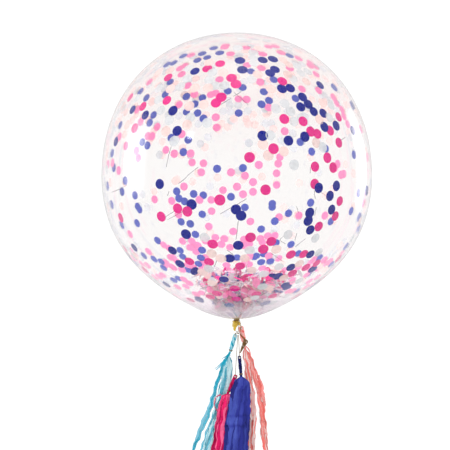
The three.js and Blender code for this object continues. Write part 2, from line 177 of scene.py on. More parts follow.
# Discs that lie where they are seen: bearing in degrees from the front, height in mm
NAVY_FRONT = [
    (19, 729), (13, 724), (1, 721), (18, 696), (-21, 692), (2, 692), (15, 684), (41, 662),
    (23, 643), (19, 640), (65, 623), (28, 620), (30, 601), (-51, 599), (26, 592), (-27, 582),
    (32, 582), (37, 580), (-41, 577), (43, 549), (55, 543), (36, 542), (-24, 527), (-59, 514),
    (26, 512), (9, 511), (19, 500), (-31, 390), (41, 387), (32, 380), (38, 360), (-18, 336),
    (40, 324), (-1, 323), (29, 315), (1, 307), (29, 294), (31, 270), (-22, 259), (0, 230),
    (-31, 215), (36, 204), (-4, 195), (-30, 178), (28, 169), (44, 161), (23, 144), (-8, 136),
    (32, 117), (-55, 114), (-35, 74), (29, 62), (-8, 57), (5, 25), (-9, 23),
    (-57, 220), (-36, 70), (35, 110), (68, 380),
]
NAVY_BACK = [
    (-142, 834), (-158, 827), (-136, 821), (-147, 815), (-116, 808), (-139, 806), (-116, 789),
    (167, 785), (-110, 781), (151, 759), (-130, 743), (175, 741), (-175, 731), (161, 727),
    (-159, 709), (-148, 709), (-132, 708), (101, 708), (141, 700), (159, 700), (164, 690),
    (-155, 688), (-118, 688), (178, 664), (-151, 663), (-158, 661), (-162, 645), (-130, 643),
    (-129, 618), (-104, 594), (-145, 577), (-155, 574), (145, 563), (-127, 555), (-131, 546),
    (130, 535), (-153, 532), (139, 529), (-102, 506), (176, 481), (-171, 478), (-106, 463),
    (102, 417), (-98, 402), (-150, 398), (-159, 390), (-114, 390), (96, 390), (-164, 386),
    (105, 386), (-178, 381), (-124, 380), (-151, 374), (-154, 364), (140, 358), (-101, 346),
    (161, 345), (175, 344), (-125, 343), (-126, 334), (110, 327), (152, 323), (-163, 320),
    (98, 304), (159, 296), (125, 295), (-151, 294), (-122, 289), (-156, 287), (-107, 283),
    (90, 269), (166, 269), (-158, 251), (-133, 232), (147, 218), (-146, 199), (-160, 198),
    (140, 189), (-114, 186), (167, 179), (-146, 178), (121, 178), (-122, 174), (-158, 173),
    (179, 173), (-127, 165), (157, 162), (163, 159), (-155, 154), (-125, 146), (-145, 136),
    (-124, 108), (-98, 403), (-101, 346), (-117, 426), (109, 505), (105, 383), (99, 308),
    (94, 275), (99, 217), (101, 162), (92, 644), (102, 707), (115, 808), (-108, 700),
    (-108, 100), (118, 143), (119, 127), (134, 42), (168, 175), (165, 117), (161, 356),
    (-164, 32),
]
PINK_FRONT = [
    (-9, 712), (-15, 698), (-35, 681), (-3, 668), (20, 662), (-1, 650), (-58, 639), (-7, 613),
    (-31, 612), (-44, 603), (-9, 598), (46, 575), (18, 557), (26, 553), (-46, 544), (39, 534),
    (29, 527), (32, 522), (43, 503), (13, 478), (36, 460), (4, 455), (30, 435), (39, 435),
    (30, 390), (-7, 347), (44, 347), (-24, 326), (-20, 318), (43, 307), (-32, 305), (-58, 303),
    (35, 279), (5, 251), (14, 240), (-11, 233), (11, 220), (32, 205), (25, 204), (-24, 186),
    (-14, 185), (1, 174), (38, 167), (31, 152), (-2, 110), (-15, 94), (14, 92), (29, 84),
    (-22, 83), (-1, 77), (-48, 68), (10, 373), (44, 178),
]
PINK_BACK = [
    (-159, 837), (-173, 826), (121, 818), (-124, 814), (169, 801), (157, 791), (-131, 789),
    (131, 782), (106, 775), (-135, 768), (-168, 763), (162, 756), (110, 753), (-146, 740),
    (-110, 730), (-167, 724), (133, 724), (-164, 719), (-153, 717), (120, 712), (178, 708),
    (173, 706), (-145, 683), (160, 679), (110, 666), (-169, 650), (-115, 650), (108, 645),
    (-170, 617), (-122, 617), (-135, 608), (153, 601), (108, 600), (-151, 591), (100, 586),
    (-130, 576), (100, 565), (-107, 560), (-143, 536), (-115, 536), (-157, 528), (-124, 526),
    (-148, 525), (157, 516), (-126, 503), (-158, 498), (-164, 496), (158, 494), (168, 491),
    (123, 482), (-104, 477), (125, 471), (-98, 470), (-178, 466), (-163, 465), (103, 462),
    (159, 461), (-111, 456), (175, 454), (121, 446), (171, 432), (179, 416), (-154, 415),
    (-174, 404), (164, 401), (171, 398), (176, 390), (-168, 370), (-162, 370), (-137, 369),
    (-147, 365), (-168, 331), (-150, 319), (146, 315), (130, 314), (157, 310), (172, 295),
    (-166, 278), (-179, 261), (-112, 254), (158, 246), (162, 246), (-169, 240), (166, 237),
    (-174, 236), (175, 234), (-155, 228), (172, 218), (-172, 217), (-136, 217), (-158, 214),
    (175, 213), (-177, 207), (-153, 207), (-156, 193), (159, 180), (171, 177), (-139, 176),
    (125, 174), (115, 173), (-147, 151), (-174, 149), (-134, 144), (-140, 137), (120, 125),
    (-138, 97), (-120, 89), (-134, 66), (-110, 52), (100, 572), (94, 574), (109, 625),
    (110, 684), (103, 458), (92, 488), (99, 376), (97, 351), (101, 780), (101, 768),
    (119, 817), (109, 797), (122, 833), (110, 830), (146, 822), (162, 837), (-129, 781),
    (162, 754), (-101, 189), (-109, 157), (-90, 144), (-102, 122), (132, 62), (129, 101),
    (171, 151), (161, 139), (144, 135), (-133, 577), (159, 421), (-180, 26), (-137, 177),
    (119, 448), (152, 830), (-158, 840),
]
SILVER_FRONT = [
    (3, 799), (0, 763), (9, 749), (8, 731), (32, 714), (8, 713), (-25, 703), (37, 699),
    (32, 693), (-12, 685), (26, 673), (-24, 672), (-13, 664), (6, 664), (-38, 650), (-26, 649),
    (-6, 647), (-10, 646), (-51, 631), (-36, 617), (43, 605), (19, 599), (-33, 586), (15, 584),
    (21, 578), (40, 570), (-19, 561), (-28, 557), (22, 551), (-12, 545), (12, 513), (-25, 500),
    (34, 487), (21, 438), (21, 258), (-14, 251), (35, 248), (5, 217), (41, 208), (21, 171),
    (-15, 167), (14, 152), (41, 129), (16, 115), (16, 114), (14, 81), (37, 62), (25, 45),
]
BLUSH_FRONT = [
    (13, 764), (25, 729), (-15, 717), (27, 716), (-44, 703), (-36, 702), (-7, 684), (24, 684),
    (9, 679), (33, 667), (-31, 645), (-19, 642), (-13, 640), (14, 638), (38, 609), (-14, 595),
    (-20, 592), (34, 561), (-52, 556), (-20, 542), (-29, 528), (31, 498), (9, 489), (17, 472),
    (11, 461), (17, 219), (-12, 208), (-8, 195), (3, 195), (32, 179), (7, 162), (-19, 156),
    (27, 140), (-16, 125), (21, 110), (9, 75),
]

# What one disc of each colour hides, and the parts of the heap that each colour makes up
DISC_ALPHA = {"navy": 0.95, "pink": 0.86, "blush": 0.6, "silver": 0.6}
HEAP_PARTS = {"pink": 10, "navy": 2, "blush": 5, "silver": 3}

# The heap: its lowest discs, how far it rises over them and how it leans to the right
HEAP_FOOT = 0.028
HEAP_RISE = 0.12
HEAP_LEAN = 0.2

# How far inside the film they lie: listed discs and strewn ones, each between two depths, and
# the tinsel
LISTED_INSET = (0.0024, 0.0034)
STREWN_INSET = (0.0011, 0.0022)
TINSEL_INSET = 0.0045

# Heights between which the film turns from amber to clear, from cloudy to clear and from
# clear to the crown's tint, and its tint where it is amber
AMBER_BAND = (0.0035, 0.016)
HAZE_BAND = (0.012, 0.085)
CROWN_BAND = (0.45, 0.75)
THIN_AMBER = (0.9, 0.74, 0.34)

# The cup of cloudy latex inside the film and the pale tube along the crease, a painted
# highlight: where the cup ends, how far inside the film they lie and how much they hide at most
CUP_TOP = 0.13
CUP_INSET = 0.0012
CUP_HAZE = 0.34
PLEAT_INSET = 0.0022
PLEAT_HIGHLIGHT = 0.75

# The middle of the gathering knot, and the gap between a winding and what it is wound on
GATHER = (0.005, 0.0, -0.04)
WINDING_GAP = 0.0003

# A tassel's eye: its drop from the head's top, its radius and half of the head's depth there
EYE_DROP = 0.006
EYE_RADIUS = 0.0026
EYE_HALF_DEPTH = 0.0025

# The drop from a tie to the fringe, the length over which its strips stay together, and
# their width there
ROOT_DROP = 0.0022
HUB_LENGTH = 0.009
ROOT_WIDTH = 0.0045


# Settings

def length_setting(name, description, default):
    return FloatProperty(name=name, description=description, default=default,
                         unit="LENGTH", subtype="DISTANCE")


def number_setting(name, description, default):
    return FloatProperty(name=name, description=description, default=default)


def count_setting(name, description, default):
    return IntProperty(name=name, description=description, default=default)


def colour_setting(name, description, default):
    return FloatVectorProperty(name=name, description=description, default=default,
                               subtype="COLOR")


class BalloonSettings(bpy.types.PropertyGroup):
    diameter: length_setting("Diameter", "Width of the balloon", 0.8)
    body_height: length_setting("Body height", "From the top of the neck to the crown", 0.844)
    widest_height: length_setting(
        "Widest height", "Of the widest ring above the top of the neck", 0.422)
    neck_top: length_setting("Neck top", "Height of the neck's top above the tie", 0.004)
    neck_radius: length_setting("Neck radius", "Radius of the neck under the thread", 0.006)
    film_thickness: length_setting("Film thickness", "Of the latex as drawn", 0.0006)
    crown_fullness: number_setting("Crown fullness", "Exponent of the upper half", 2.12)
    neck_taper: number_setting("Neck taper", "How much narrower than an ellipse it ends", 0.3)
    film_colour: colour_setting("Film colour", "Tint of the film", (0.955, 0.945, 0.94))
    crown_colour: colour_setting("Crown colour", "Tint near the crown", (0.945, 0.908, 0.898))
    haze_colour: colour_setting("Haze colour", "Of the cloudy latex", (0.93, 0.83, 0.92))
    amber_colour: colour_setting("Amber colour", "Of the latex in the knot", (0.8, 0.53, 0.06))


class ConfettiSettings(bpy.types.PropertyGroup):
    disc_diameter: length_setting("Disc diameter", "Of one tissue disc", 0.028)
    disc_thickness: length_setting("Disc thickness", "Of one disc as drawn", 0.0002)
    scattered: count_setting("Scattered discs", "Other discs strewn over the film", 540)
    heaped: count_setting("Heaped discs", "Discs in the heap at the bottom", 330)
    seed: count_setting("Seed", "Fixes where the discs fall", 7)
    shreds: count_setting("Shreds", "Film shreds in the heap", 260)
    shred_seed: count_setting("Shred seed", "Fixes where the shreds fall", 29)
    # Paler inside colours paint the veil of light that the film scatters over far-side discs
    pink: colour_setting("Pink", "Of the pink discs", (0.88, 0.01, 0.28))
    pink_inside: colour_setting("Pink inside", "Of their inner faces", (1.0, 0.3, 0.56))
    navy: colour_setting("Navy", "Of the navy discs", (0.0, 0.007, 0.27))
    navy_inside: colour_setting("Navy inside", "Of their inner faces", (0.09, 0.12, 0.46))
    blush: colour_setting("Blush", "Of the blush discs", (1.0, 0.77, 0.74))
    blush_inside: colour_setting("Blush inside", "Of their inner faces", (1.0, 0.79, 0.75))
    silver: colour_setting("Silver", "Of the pale grey discs", (0.8, 0.82, 0.85))
    silver_inside: colour_setting("Silver inside", "Of their inner faces", (0.74, 0.79, 0.81))


class ThreadSettings(bpy.types.PropertyGroup):
    diameter: length_setting("Diameter", "Of the gold thread", 0.0016)
    neck_turns: count_setting("Neck turns", "Turns of thread round the neck", 3)
    colour: colour_setting("Colour", "Of the gold thread", (0.27, 0.155, 0.04))
    lashing_diameter: length_setting("Lashing diameter", "Of the doubled thread", 0.0032)


class TasselSettings(bpy.types.PropertyGroup):
    head_length: length_setting("Head length", "From the head's top to the tie", 0.054)
    pinch_radius: length_setting("Pinch radius", "Of the head under the tie", 0.004)
    fringe_length: length_setting("Fringe length", "Of the longest strips", 0.345)
    strip_width: length_setting("Strip width", "Of one strip of tissue", 0.013)
    depth: length_setting("Depth", "Half of a fringe's thickness", 0.013)
    strips: count_setting("Strips", "Strips in one fringe", 32)
    aqua: colour_setting("Aqua", "Tissue colour", (0.004, 0.43, 0.62))
    aqua_pale: colour_setting("Pale aqua", "Where one layer shows", (0.68, 0.96, 1.0))
    magenta: colour_setting("Magenta", "Tissue colour", (0.98, 0.012, 0.16))
    magenta_pale: colour_setting("Pale magenta", "Where one layer shows", (1.0, 0.15, 0.33))
    navy: colour_setting("Navy", "Tissue colour", (0.034, 0.043, 0.33))
    navy_pale: colour_setting("Pale navy", "Where one layer shows", (0.085, 0.125, 0.53))
    coral: colour_setting("Coral", "Tissue colour", (1.0, 0.15, 0.125))
    coral_pale: colour_setting("Pale coral", "Where one layer shows", (1.0, 0.8, 0.76))


class StageSettings(bpy.types.PropertyGroup):
    floor_height: length_setting("Floor height", "Of the floor's middle", -2.2)
    floor_radius: length_setting("Floor radius", "Of the dished floor", 9.0)
    floor_rim: length_setting("Floor rim", "Rise of the floor at its rim", 5.0)
    camera_distance: length_setting("Camera distance", "From the balloon's axis", 2.56)
    camera_side: length_setting("Camera side", "To the right of the axis", -0.0344)
    camera_height: length_setting("Camera height", "Above the tie", 0.284)
    lens: number_setting("Lens", "Focal length in mm", 68.5)


# Shared helpers

def smooth(low, high, value):
    share = min(1.0, max(0.0, (value - low) / (high - low)))
    return share * share * (3 - 2 * share)


def linked(name, mesh):
    obj = bpy.data.objects.new(name, mesh)
    bpy.context.scene.collection.objects.link(obj)
    return obj


def mesh_from(name, verts, faces, attributes=None, edges=()):
    mesh = bpy.data.meshes.new(name)
    mesh.from_pydata([tuple(v) for v in verts], list(edges), faces)
    for label, values in (attributes or {}).items():
        kind = "FLOAT_VECTOR" if hasattr(values[0], "__len__") else "FLOAT"
        layer = mesh.attributes.new(label, kind, "POINT")
        if kind == "FLOAT":
            layer.data.foreach_set("value", values)
        else:
            layer.data.foreach_set("vector", [c for v in values for c in v])
    mesh.update()
    return mesh


def evaluated(obj):
    """Swaps an object's mesh for what its modifiers make of it."""
    graph = bpy.context.evaluated_depsgraph_get()
    graph.update()
    mesh = bpy.data.meshes.new_from_object(obj.evaluated_get(graph))
    obj.modifiers.clear()
    obj.data = mesh
    mesh.name = obj.name
    return obj


def shaded(obj, mat=None):
    for polygon in obj.data.polygons:
        polygon.use_smooth = True
    if mat is not None:
        obj.data.materials.clear()
        obj.data.materials.append(mat)
    return obj


def joined(name, objects):
    """One object from several, keeping their materials."""
    bpy.ops.object.select_all(action="DESELECT")
    for obj in objects:
        obj.select_set(True)
    bpy.context.view_layer.objects.active = objects[0]
    bpy.ops.object.join()
    objects[0].name = name
    return objects[0]


def placed(obj, slot, *nodes):
    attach(obj, "root")
    if nodes:
        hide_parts(*nodes)
    return obj


def ringed(rows, segments, closed=True):
    """Faces from a first pole over rows of vertices, and to a last pole if it is closed."""
    faces = []
    last = 1 + (rows - 1) * segments
    for i in range(segments):
        j = (i + 1) % segments
        faces.append((0, 1 + i, 1 + j))
        for a in range(1, last, segments):
            b = a + segments
            faces.append((a + j, a + i, b + i, b + j))
        if closed:
            faces.append((last + segments, last + j, last + i))
    return faces


def lathe(profile, segments, fold):
    """Vertices and faces of (radius, height) rows turned about Z, closed at both poles."""
    verts = [(0, 0, profile[0][1])]
    for radius, height in profile[1:-1]:
        for i in range(segments):
            angle = 2 * math.pi * i / segments
            wide = fold(radius, height, angle)
            verts.append((wide * math.cos(angle), wide * math.sin(angle), height))
    verts.append((0, 0, profile[-1][1]))
    return verts, ringed(len(profile) - 2, segments)


def catmull(points, step):
    """Points close together on a centripetal Catmull-Rom curve through the given ones."""
    pts = [Vector(p) for p in points]
    first = pts[0] * 2 - pts[1]
    last = pts[-1] * 2 - pts[-2]
    run = [first, *pts, last]
    made = []
    for i in range(1, len(run) - 2):
        p0, p1, p2, p3 = run[i - 1:i + 3]
        t0 = 0.0
        t1 = t0 + max(1e-6, (p1 - p0).length ** 0.5)
        t2 = t1 + max(1e-6, (p2 - p1).length ** 0.5)
        t3 = t2 + max(1e-6, (p3 - p2).length ** 0.5)
        count = max(2, math.ceil((p2 - p1).length / step))
        for k in range(count):
            t = t1 + (t2 - t1) * k / count
            a1 = p0 * ((t1 - t) / (t1 - t0)) + p1 * ((t - t0) / (t1 - t0))
            a2 = p1 * ((t2 - t) / (t2 - t1)) + p2 * ((t - t1) / (t2 - t1))
            a3 = p2 * ((t3 - t) / (t3 - t2)) + p3 * ((t - t2) / (t3 - t2))
            b1 = a1 * ((t2 - t) / (t2 - t0)) + a2 * ((t - t0) / (t2 - t0))
            b2 = a2 * ((t3 - t) / (t3 - t1)) + a3 * ((t - t1) / (t3 - t1))
            made.append(b1 * ((t2 - t) / (t2 - t1)) + b2 * ((t - t1) / (t2 - t1)))
    made.append(pts[-1])
    return made


def tube(points, radii, around):
    """A round closed rod along points, with a radius at each."""
    verts, faces = [], []
    for i, here in enumerate(points):
        way = (points[min(i + 1, len(points) - 1)] - points[max(i - 1, 0)]).normalized()
        side = way.orthogonal() if i == 0 else side - way * side.dot(way)
        side.normalize()
        up = way.cross(side)
        for k in range(around):
            turn = 2 * math.pi * k / around
            verts.append(here + (side * math.cos(turn) + up * math.sin(turn)) * radii[i])
    for i in range(len(points) - 1):
        for k in range(around):
            a, b, m = i * around, (i + 1) * around, (k + 1) % around
            faces.append((a + k, a + m, b + m, b + k))
    faces.append(tuple(reversed(range(around))))
    faces.append(tuple(range(len(verts) - around, len(verts))))
    return verts, faces


def at_share(points, share):
    """The point a share of the way along a list of points."""
    lengths = [0.0]
    for a, b in zip(points, points[1:]):
        lengths.append(lengths[-1] + (b - a).length)
    goal = share * lengths[-1]
    for i in range(len(points) - 1):
        if goal <= lengths[i + 1]:
            span = lengths[i + 1] - lengths[i]
            return points[i].lerp(points[i + 1], (goal - lengths[i]) / span)
    return points[-1].copy()


# Node trees

def fed(tree, node, inputs):
    """A node with its inputs, each a link from a socket or a plain value."""
    for key, value in inputs.items():
        if isinstance(value, bpy.types.NodeSocket):
            tree.links.new(value, node.inputs[key])
        else:
            node.inputs[key].default_value = value
    return node


def added(tree, kind, inputs=None, **settings):
    """A new node with its settings and inputs."""
    made = tree.nodes.new(kind)
    for key, value in settings.items():
        setattr(made, key, value)
    return fed(tree, made, inputs or {})


def worked(tree, operation, first, second):
    """What a Math node makes of two values."""
    return added(tree, "ShaderNodeMath", {0: first, 1: second}, operation=operation).outputs[0]


def ranged(tree, value, *limits, **settings):
    """A value carried over from one range, low and high, to another."""
    labels = ("From Min", "From Max", "To Min", "To Max")
    inputs = {"Value": value, **dict(zip(labels, limits))}
    return added(tree, "ShaderNodeMapRange", inputs, **settings).outputs[0]


def between(tree, share, low, high):
    """A colour between two, each a socket or a plain colour."""
    low, high = (end if isinstance(end, bpy.types.NodeSocket) else (*end, 1.0)
                 for end in (low, high))
    return added(tree, "ShaderNodeMix", {0: share, 6: low, 7: high}, data_type="RGBA").outputs[2]


def attribute(tree, label):
    return added(tree, "ShaderNodeAttribute", attribute_name=label).outputs["Fac"]


def named(tree, label, kind="FLOAT"):
    made = added(tree, "GeometryNodeInputNamedAttribute", {"Name": label}, data_type=kind)
    return made.outputs["Attribute"]


def tree_of(name, *sizes):
    """A tree of geometry nodes and what it is given: geometry, sizes and a material."""
    tree = bpy.data.node_groups.new(name, "GeometryNodeTree")
    tree.is_modifier = True
    sockets = [("Geometry", "Geometry"), *((size, "Float") for size in sizes),
               ("Material", "Material")]
    for label, kind in sockets:
        tree.interface.new_socket(label, in_out="INPUT", socket_type="NodeSocket" + kind)
    tree.interface.new_socket("Geometry", in_out="OUTPUT", socket_type="NodeSocketGeometry")
    return tree, tree.nodes.new("NodeGroupInput").outputs


def ended(tree, given, last):
    """The tree, ended in plain geometry that has the given material."""
    real = added(tree, "GeometryNodeRealizeInstances", {0: last.outputs[0]})
    done = added(tree, "GeometryNodeSetMaterial", {
        "Geometry": real.outputs[0], "Material": given["Material"]})
    fed(tree, tree.nodes.new("NodeGroupOutput"), {0: done.outputs[0]})
    return tree


def disc_tree():
    tree, given = tree_of("Strewn discs", "Diameter", "Thickness")
    disc = added(tree, "GeometryNodeMeshCylinder", {
        "Vertices": 20, "Radius": worked(tree, "MULTIPLY", given["Diameter"], 0.5),
        "Depth": given["Thickness"]})
    place = added(tree, "GeometryNodeInputPosition")
    parts = added(tree, "ShaderNodeSeparateXYZ", {0: place.outputs[0]})
    # Inward faces are marked inner; their paler colour is a painted veil of scattered light
    marked = added(tree, "GeometryNodeStoreNamedAttribute", {
        "Geometry": disc.outputs["Mesh"], "Name": "inner",
        "Value": worked(tree, "LESS_THAN", parts.outputs["Z"], 0.0)},
        data_type="FLOAT", domain="FACE")
    turned = added(tree, "FunctionNodeAlignRotationToVector", {
        "Vector": named(tree, "facing", "FLOAT_VECTOR")}, axis="Z")
    strewn = added(tree, "GeometryNodeInstanceOnPoints", {
        "Points": given["Geometry"], "Instance": marked.outputs["Geometry"],
        "Rotation": turned.outputs[0], "Scale": named(tree, "size", "FLOAT_VECTOR")})
    return ended(tree, given, strewn)


def strip_tree():
    tree, given = tree_of("Ribbon strips", "Thickness", "Crumple", "Fineness")
    line = added(tree, "GeometryNodeMeshToCurve", {"Mesh": given["Geometry"]})
    framed = added(tree, "GeometryNodeSetCurveNormal", {
        "Curve": line.outputs[0], "Normal": named(tree, "across", "FLOAT_VECTOR")},
        mode="FREE")
    profile = added(tree, "GeometryNodeCurvePrimitiveQuadrilateral", {
        "Width": 2.0, "Height": given["Thickness"]})
    finer = added(tree, "GeometryNodeSubdivideCurve", {"Curve": profile.outputs[0], "Cuts": 3})
    swept = added(tree, "GeometryNodeCurveToMesh", {
        "Curve": framed.outputs[0], "Profile Curve": finer.outputs[0],
        "Scale": named(tree, "half_width"), "Fill Caps": True})
    noise = added(tree, "ShaderNodeTexNoise", {"Scale": given["Fineness"], "Detail": 2.0})
    shift = added(tree, "ShaderNodeVectorMath", {0: noise.outputs["Color"], 1: (0.5,) * 3},
                  operation="SUBTRACT")
    for scale in (given["Crumple"], named(tree, "free")):
        shift = added(tree, "ShaderNodeVectorMath", {0: shift.outputs[0], "Scale": scale},
                      operation="SCALE")
    moved = added(tree, "GeometryNodeSetPosition", {
        "Geometry": swept.outputs[0], "Offset": shift.outputs[0]})
    return ended(tree, given, moved)


def winding_tree():
    tree, given = tree_of("Wound thread", "Turns", "Radius", "Thread diameter")
    height = worked(tree, "MULTIPLY", given["Turns"], given["Thread diameter"])
    spiral = added(tree, "GeometryNodeCurveSpiral", {
        "Resolution": 32, "Rotations": given["Turns"], "Start Radius": given["Radius"],
        "End Radius": given["Radius"], "Height": height})
    circle = added(tree, "GeometryNodeCurvePrimitiveCircle", {
        "Resolution": 10, "Radius": worked(tree, "MULTIPLY", given["Thread diameter"], 0.5)},
        mode="RADIUS")
    swept = added(tree, "GeometryNodeCurveToMesh", {
        "Curve": spiral.outputs[0], "Profile Curve": circle.outputs["Curve"],
        "Fill Caps": True})
    down = added(tree, "ShaderNodeCombineXYZ", {"Z": worked(tree, "MULTIPLY", height, -0.5)})
    moved = added(tree, "GeometryNodeSetPosition", {
        "Geometry": swept.outputs[0], "Offset": down.outputs[0]})
    return ended(tree, given, moved)


def grown(name, mesh, tree, values):
    """A plain mesh object from a node tree run on a mesh with the given inputs."""
    obj = linked(name, mesh)
    modifier = obj.modifiers.new("Grow", "NODES")
    modifier.node_group = tree
    for item in tree.interface.items_tree:
        if item.in_out == "INPUT" and item.name in values:
            modifier[item.identifier] = values[item.name]
    made = evaluated(obj)
    if not made.data.polygons:
        raise RuntimeError(name + " came out empty")
    return made


# Materials

def material(name):
    mat = bpy.data.materials.new(name)
    mat.use_nodes = True
    return mat, mat.node_tree, mat.node_tree.nodes["Principled BSDF"]


def bumped(tree, shader, height, strength, distance):
    bump = added(tree, "ShaderNodeBump", {
        "Height": height, "Strength": strength, "Distance": distance})
    fed(tree, shader, {"Normal": bump.outputs[0]})


def tone_group():
    """Colour and bump of crinkled tissue, paler for tones above 1 and darker below."""
    group = bpy.data.node_groups.new("Tissue surface", "ShaderNodeTree")
    sockets = (("INPUT", "Colour", "Color"), ("INPUT", "Pale", "Color"),
               ("INPUT", "Tone", "Float"), ("INPUT", "Grain", "Vector"),
               ("OUTPUT", "Colour", "Color"), ("OUTPUT", "Height", "Float"))
    for way, label, kind in sockets:
        group.interface.new_socket(label, in_out=way, socket_type="NodeSocket" + kind)
    given = group.nodes.new("NodeGroupInput").outputs
    where = added(group, "ShaderNodeTexCoord")
    scaled = added(group, "ShaderNodeVectorMath", {
        0: where.outputs["Object"], 1: given["Grain"]}, operation="MULTIPLY")
    noise = added(group, "ShaderNodeTexNoise", {
        "Vector": scaled.outputs[0], "Scale": 1.0, "Detail": 3.0}).outputs[0]
    light = worked(group, "MULTIPLY", ranged(group, noise, 0.25, 0.75, 0.82, 1.18),
                   given["Tone"])
    dimmed = added(group, "ShaderNodeHueSaturation", {
        "Color": given["Colour"], "Value": worked(group, "MINIMUM", light, 1.0)})
    lift = worked(group, "SUBTRACT", light, 1.0)
    paler = between(group, lift, dimmed.outputs[0], given["Pale"])
    fed(group, group.nodes.new("NodeGroupOutput"), {0: paler, 1: noise})
    return group


def tissue(name, colour, pale, group, grain, inside=None, alpha=1.0, bumps=0.25):
    mat, tree, shader = material(name)
    shade = (*colour, 1.0)
    # Inner faces take the inside colour, on the discs a painted veil of scattered light
    if inside is not None:
        shade = between(tree, attribute(tree, "inner"), colour, inside)
    surface = added(tree, "ShaderNodeGroup", {
        "Colour": shade, "Pale": (*pale, 1.0), "Tone": attribute(tree, "tone"),
        "Grain": grain}, node_tree=group)
    bumped(tree, shader, surface.outputs["Height"], bumps, 0.002)
    fed(tree, shader, {
        "Base Color": surface.outputs["Colour"], "Roughness": 0.85,
        "Specular IOR Level": 0.12, "Alpha": alpha})
    return mat


def lamps_pass(tree, share=1.0):
    """Lets a share of the light go straight through, so that what is inside is lit."""
    shader = tree.nodes["Principled BSDF"]
    rays = added(tree, "ShaderNodeLightPath").outputs
    either = worked(tree, "MAXIMUM", rays["Is Shadow Ray"], rays["Is Diffuse Ray"])
    clear = added(tree, "ShaderNodeBsdfTransparent")
    mix = added(tree, "ShaderNodeMixShader", {
        0: worked(tree, "MULTIPLY", either, share), 1: shader.outputs[0],
        2: clear.outputs[0]})
    fed(tree, tree.nodes["Material Output"], {"Surface": mix.outputs[0]})


def film_material(settings):
    mat, tree, shader = material("clear_latex")
    clear = between(tree, attribute(tree, "crown"), settings.film_colour,
                    settings.crown_colour)
    fed(tree, shader, {
        "Base Color": between(tree, attribute(tree, "amber"), clear, THIN_AMBER),
        "Roughness": ranged(tree, attribute(tree, "haze"), 0.0, 1.0, 0.03, 0.2),
        "IOR": 1.42, "Transmission Weight": 1.0})
    lamps_pass(tree)
    return mat


def haze_and_highlight_material(settings):
    """Cloudy latex where the film is less stretched, thinning out upwards; also the crease's
    painted highlight.
    """
    mat, tree, shader = material("cloudy_latex_and_highlight")
    fed(tree, shader, {
        "Base Color": (*settings.haze_colour, 1.0), "Roughness": 0.6,
        "Alpha": attribute(tree, "haze")})
    return mat


def mottled(name, colour, shades, grain, bump, finish):
    """A material that changes in small grains between two shades of a colour."""
    mat, tree, shader = material(name)
    where = added(tree, "ShaderNodeTexCoord")
    noise = added(tree, "ShaderNodeTexNoise", {
        "Vector": where.outputs["Object"], **grain}).outputs[0]
    dark, bright = ([min(1.0, part * times) for part, times in zip(colour, shade)]
                    for shade in shades)
    bumped(tree, shader, noise, *bump)
    fed(tree, shader, {"Base Color": between(tree, noise, dark, bright), **finish})
    return mat


def knot_material(settings):
    return mottled(
        "amber_latex", settings.amber_colour, ((0.6, 0.55, 0.5), (1.3, 1.35, 1.6)),
        {"Scale": 160.0, "Detail": 2.0}, (0.35, 0.001),
        {"Roughness": 0.25, "Coat Weight": 0.3})


def thread_material(settings):
    return mottled(
        "gold_thread", settings.colour, ((0.5, 0.45, 0.4), (1.5, 1.55, 1.7)),
        {"Scale": 900.0, "Detail": 1.0}, (0.5, 0.0004),
        {"Metallic": 0.35, "Roughness": 0.42})


def shred_material():
    mat, tree, shader = material("film_shreds")
    # Heap shreds run up to near white, painted glints over their real gloss; tinsel stays dull grey
    dull, bright = (0.22, 0.2, 0.24), (1.0, 0.88, 0.97)
    fed(tree, shader, {
        "Base Color": between(tree, attribute(tree, "tone"), dull, bright),
        "Roughness": 0.16, "Metallic": 0.3, "Alpha": 0.5})
    return mat


# The balloon

def film_radius(settings, height):
    widest = settings.neck_top + settings.widest_height
    half = settings.diameter / 2
    if height >= widest:
        share = (height - widest) / (settings.body_height - settings.widest_height)
        power = settings.crown_fullness
        return half * max(0.0, 1 - share ** power) ** (1 / power)
    share = min(1.0, (widest - height) / settings.widest_height)
    wide = half * math.sqrt(1 - share * share) * (1 - settings.neck_taper * share ** 4)
    return max(wide, settings.neck_radius)


def film_profile(settings, rows=72):
    """Rows from the crown down to the neck, as (radius, height)."""
    widest = settings.neck_top + settings.widest_height
    rise = settings.body_height - settings.widest_height
    power = 2 / settings.crown_fullness
    half = rows // 2
    profile = [(0.0, widest + rise)]
    for i in range(1, half):
        angle = math.pi / 2 * i / half
        wide = settings.diameter / 2 * math.sin(angle) ** power
        profile.append((wide, widest + rise * math.cos(angle) ** power))
    for i in range(half, 0, -1):
        angle = math.pi / 2 * i / half
        height = widest - settings.widest_height * math.cos(angle)
        profile.append((film_radius(settings, height), height))
    return profile


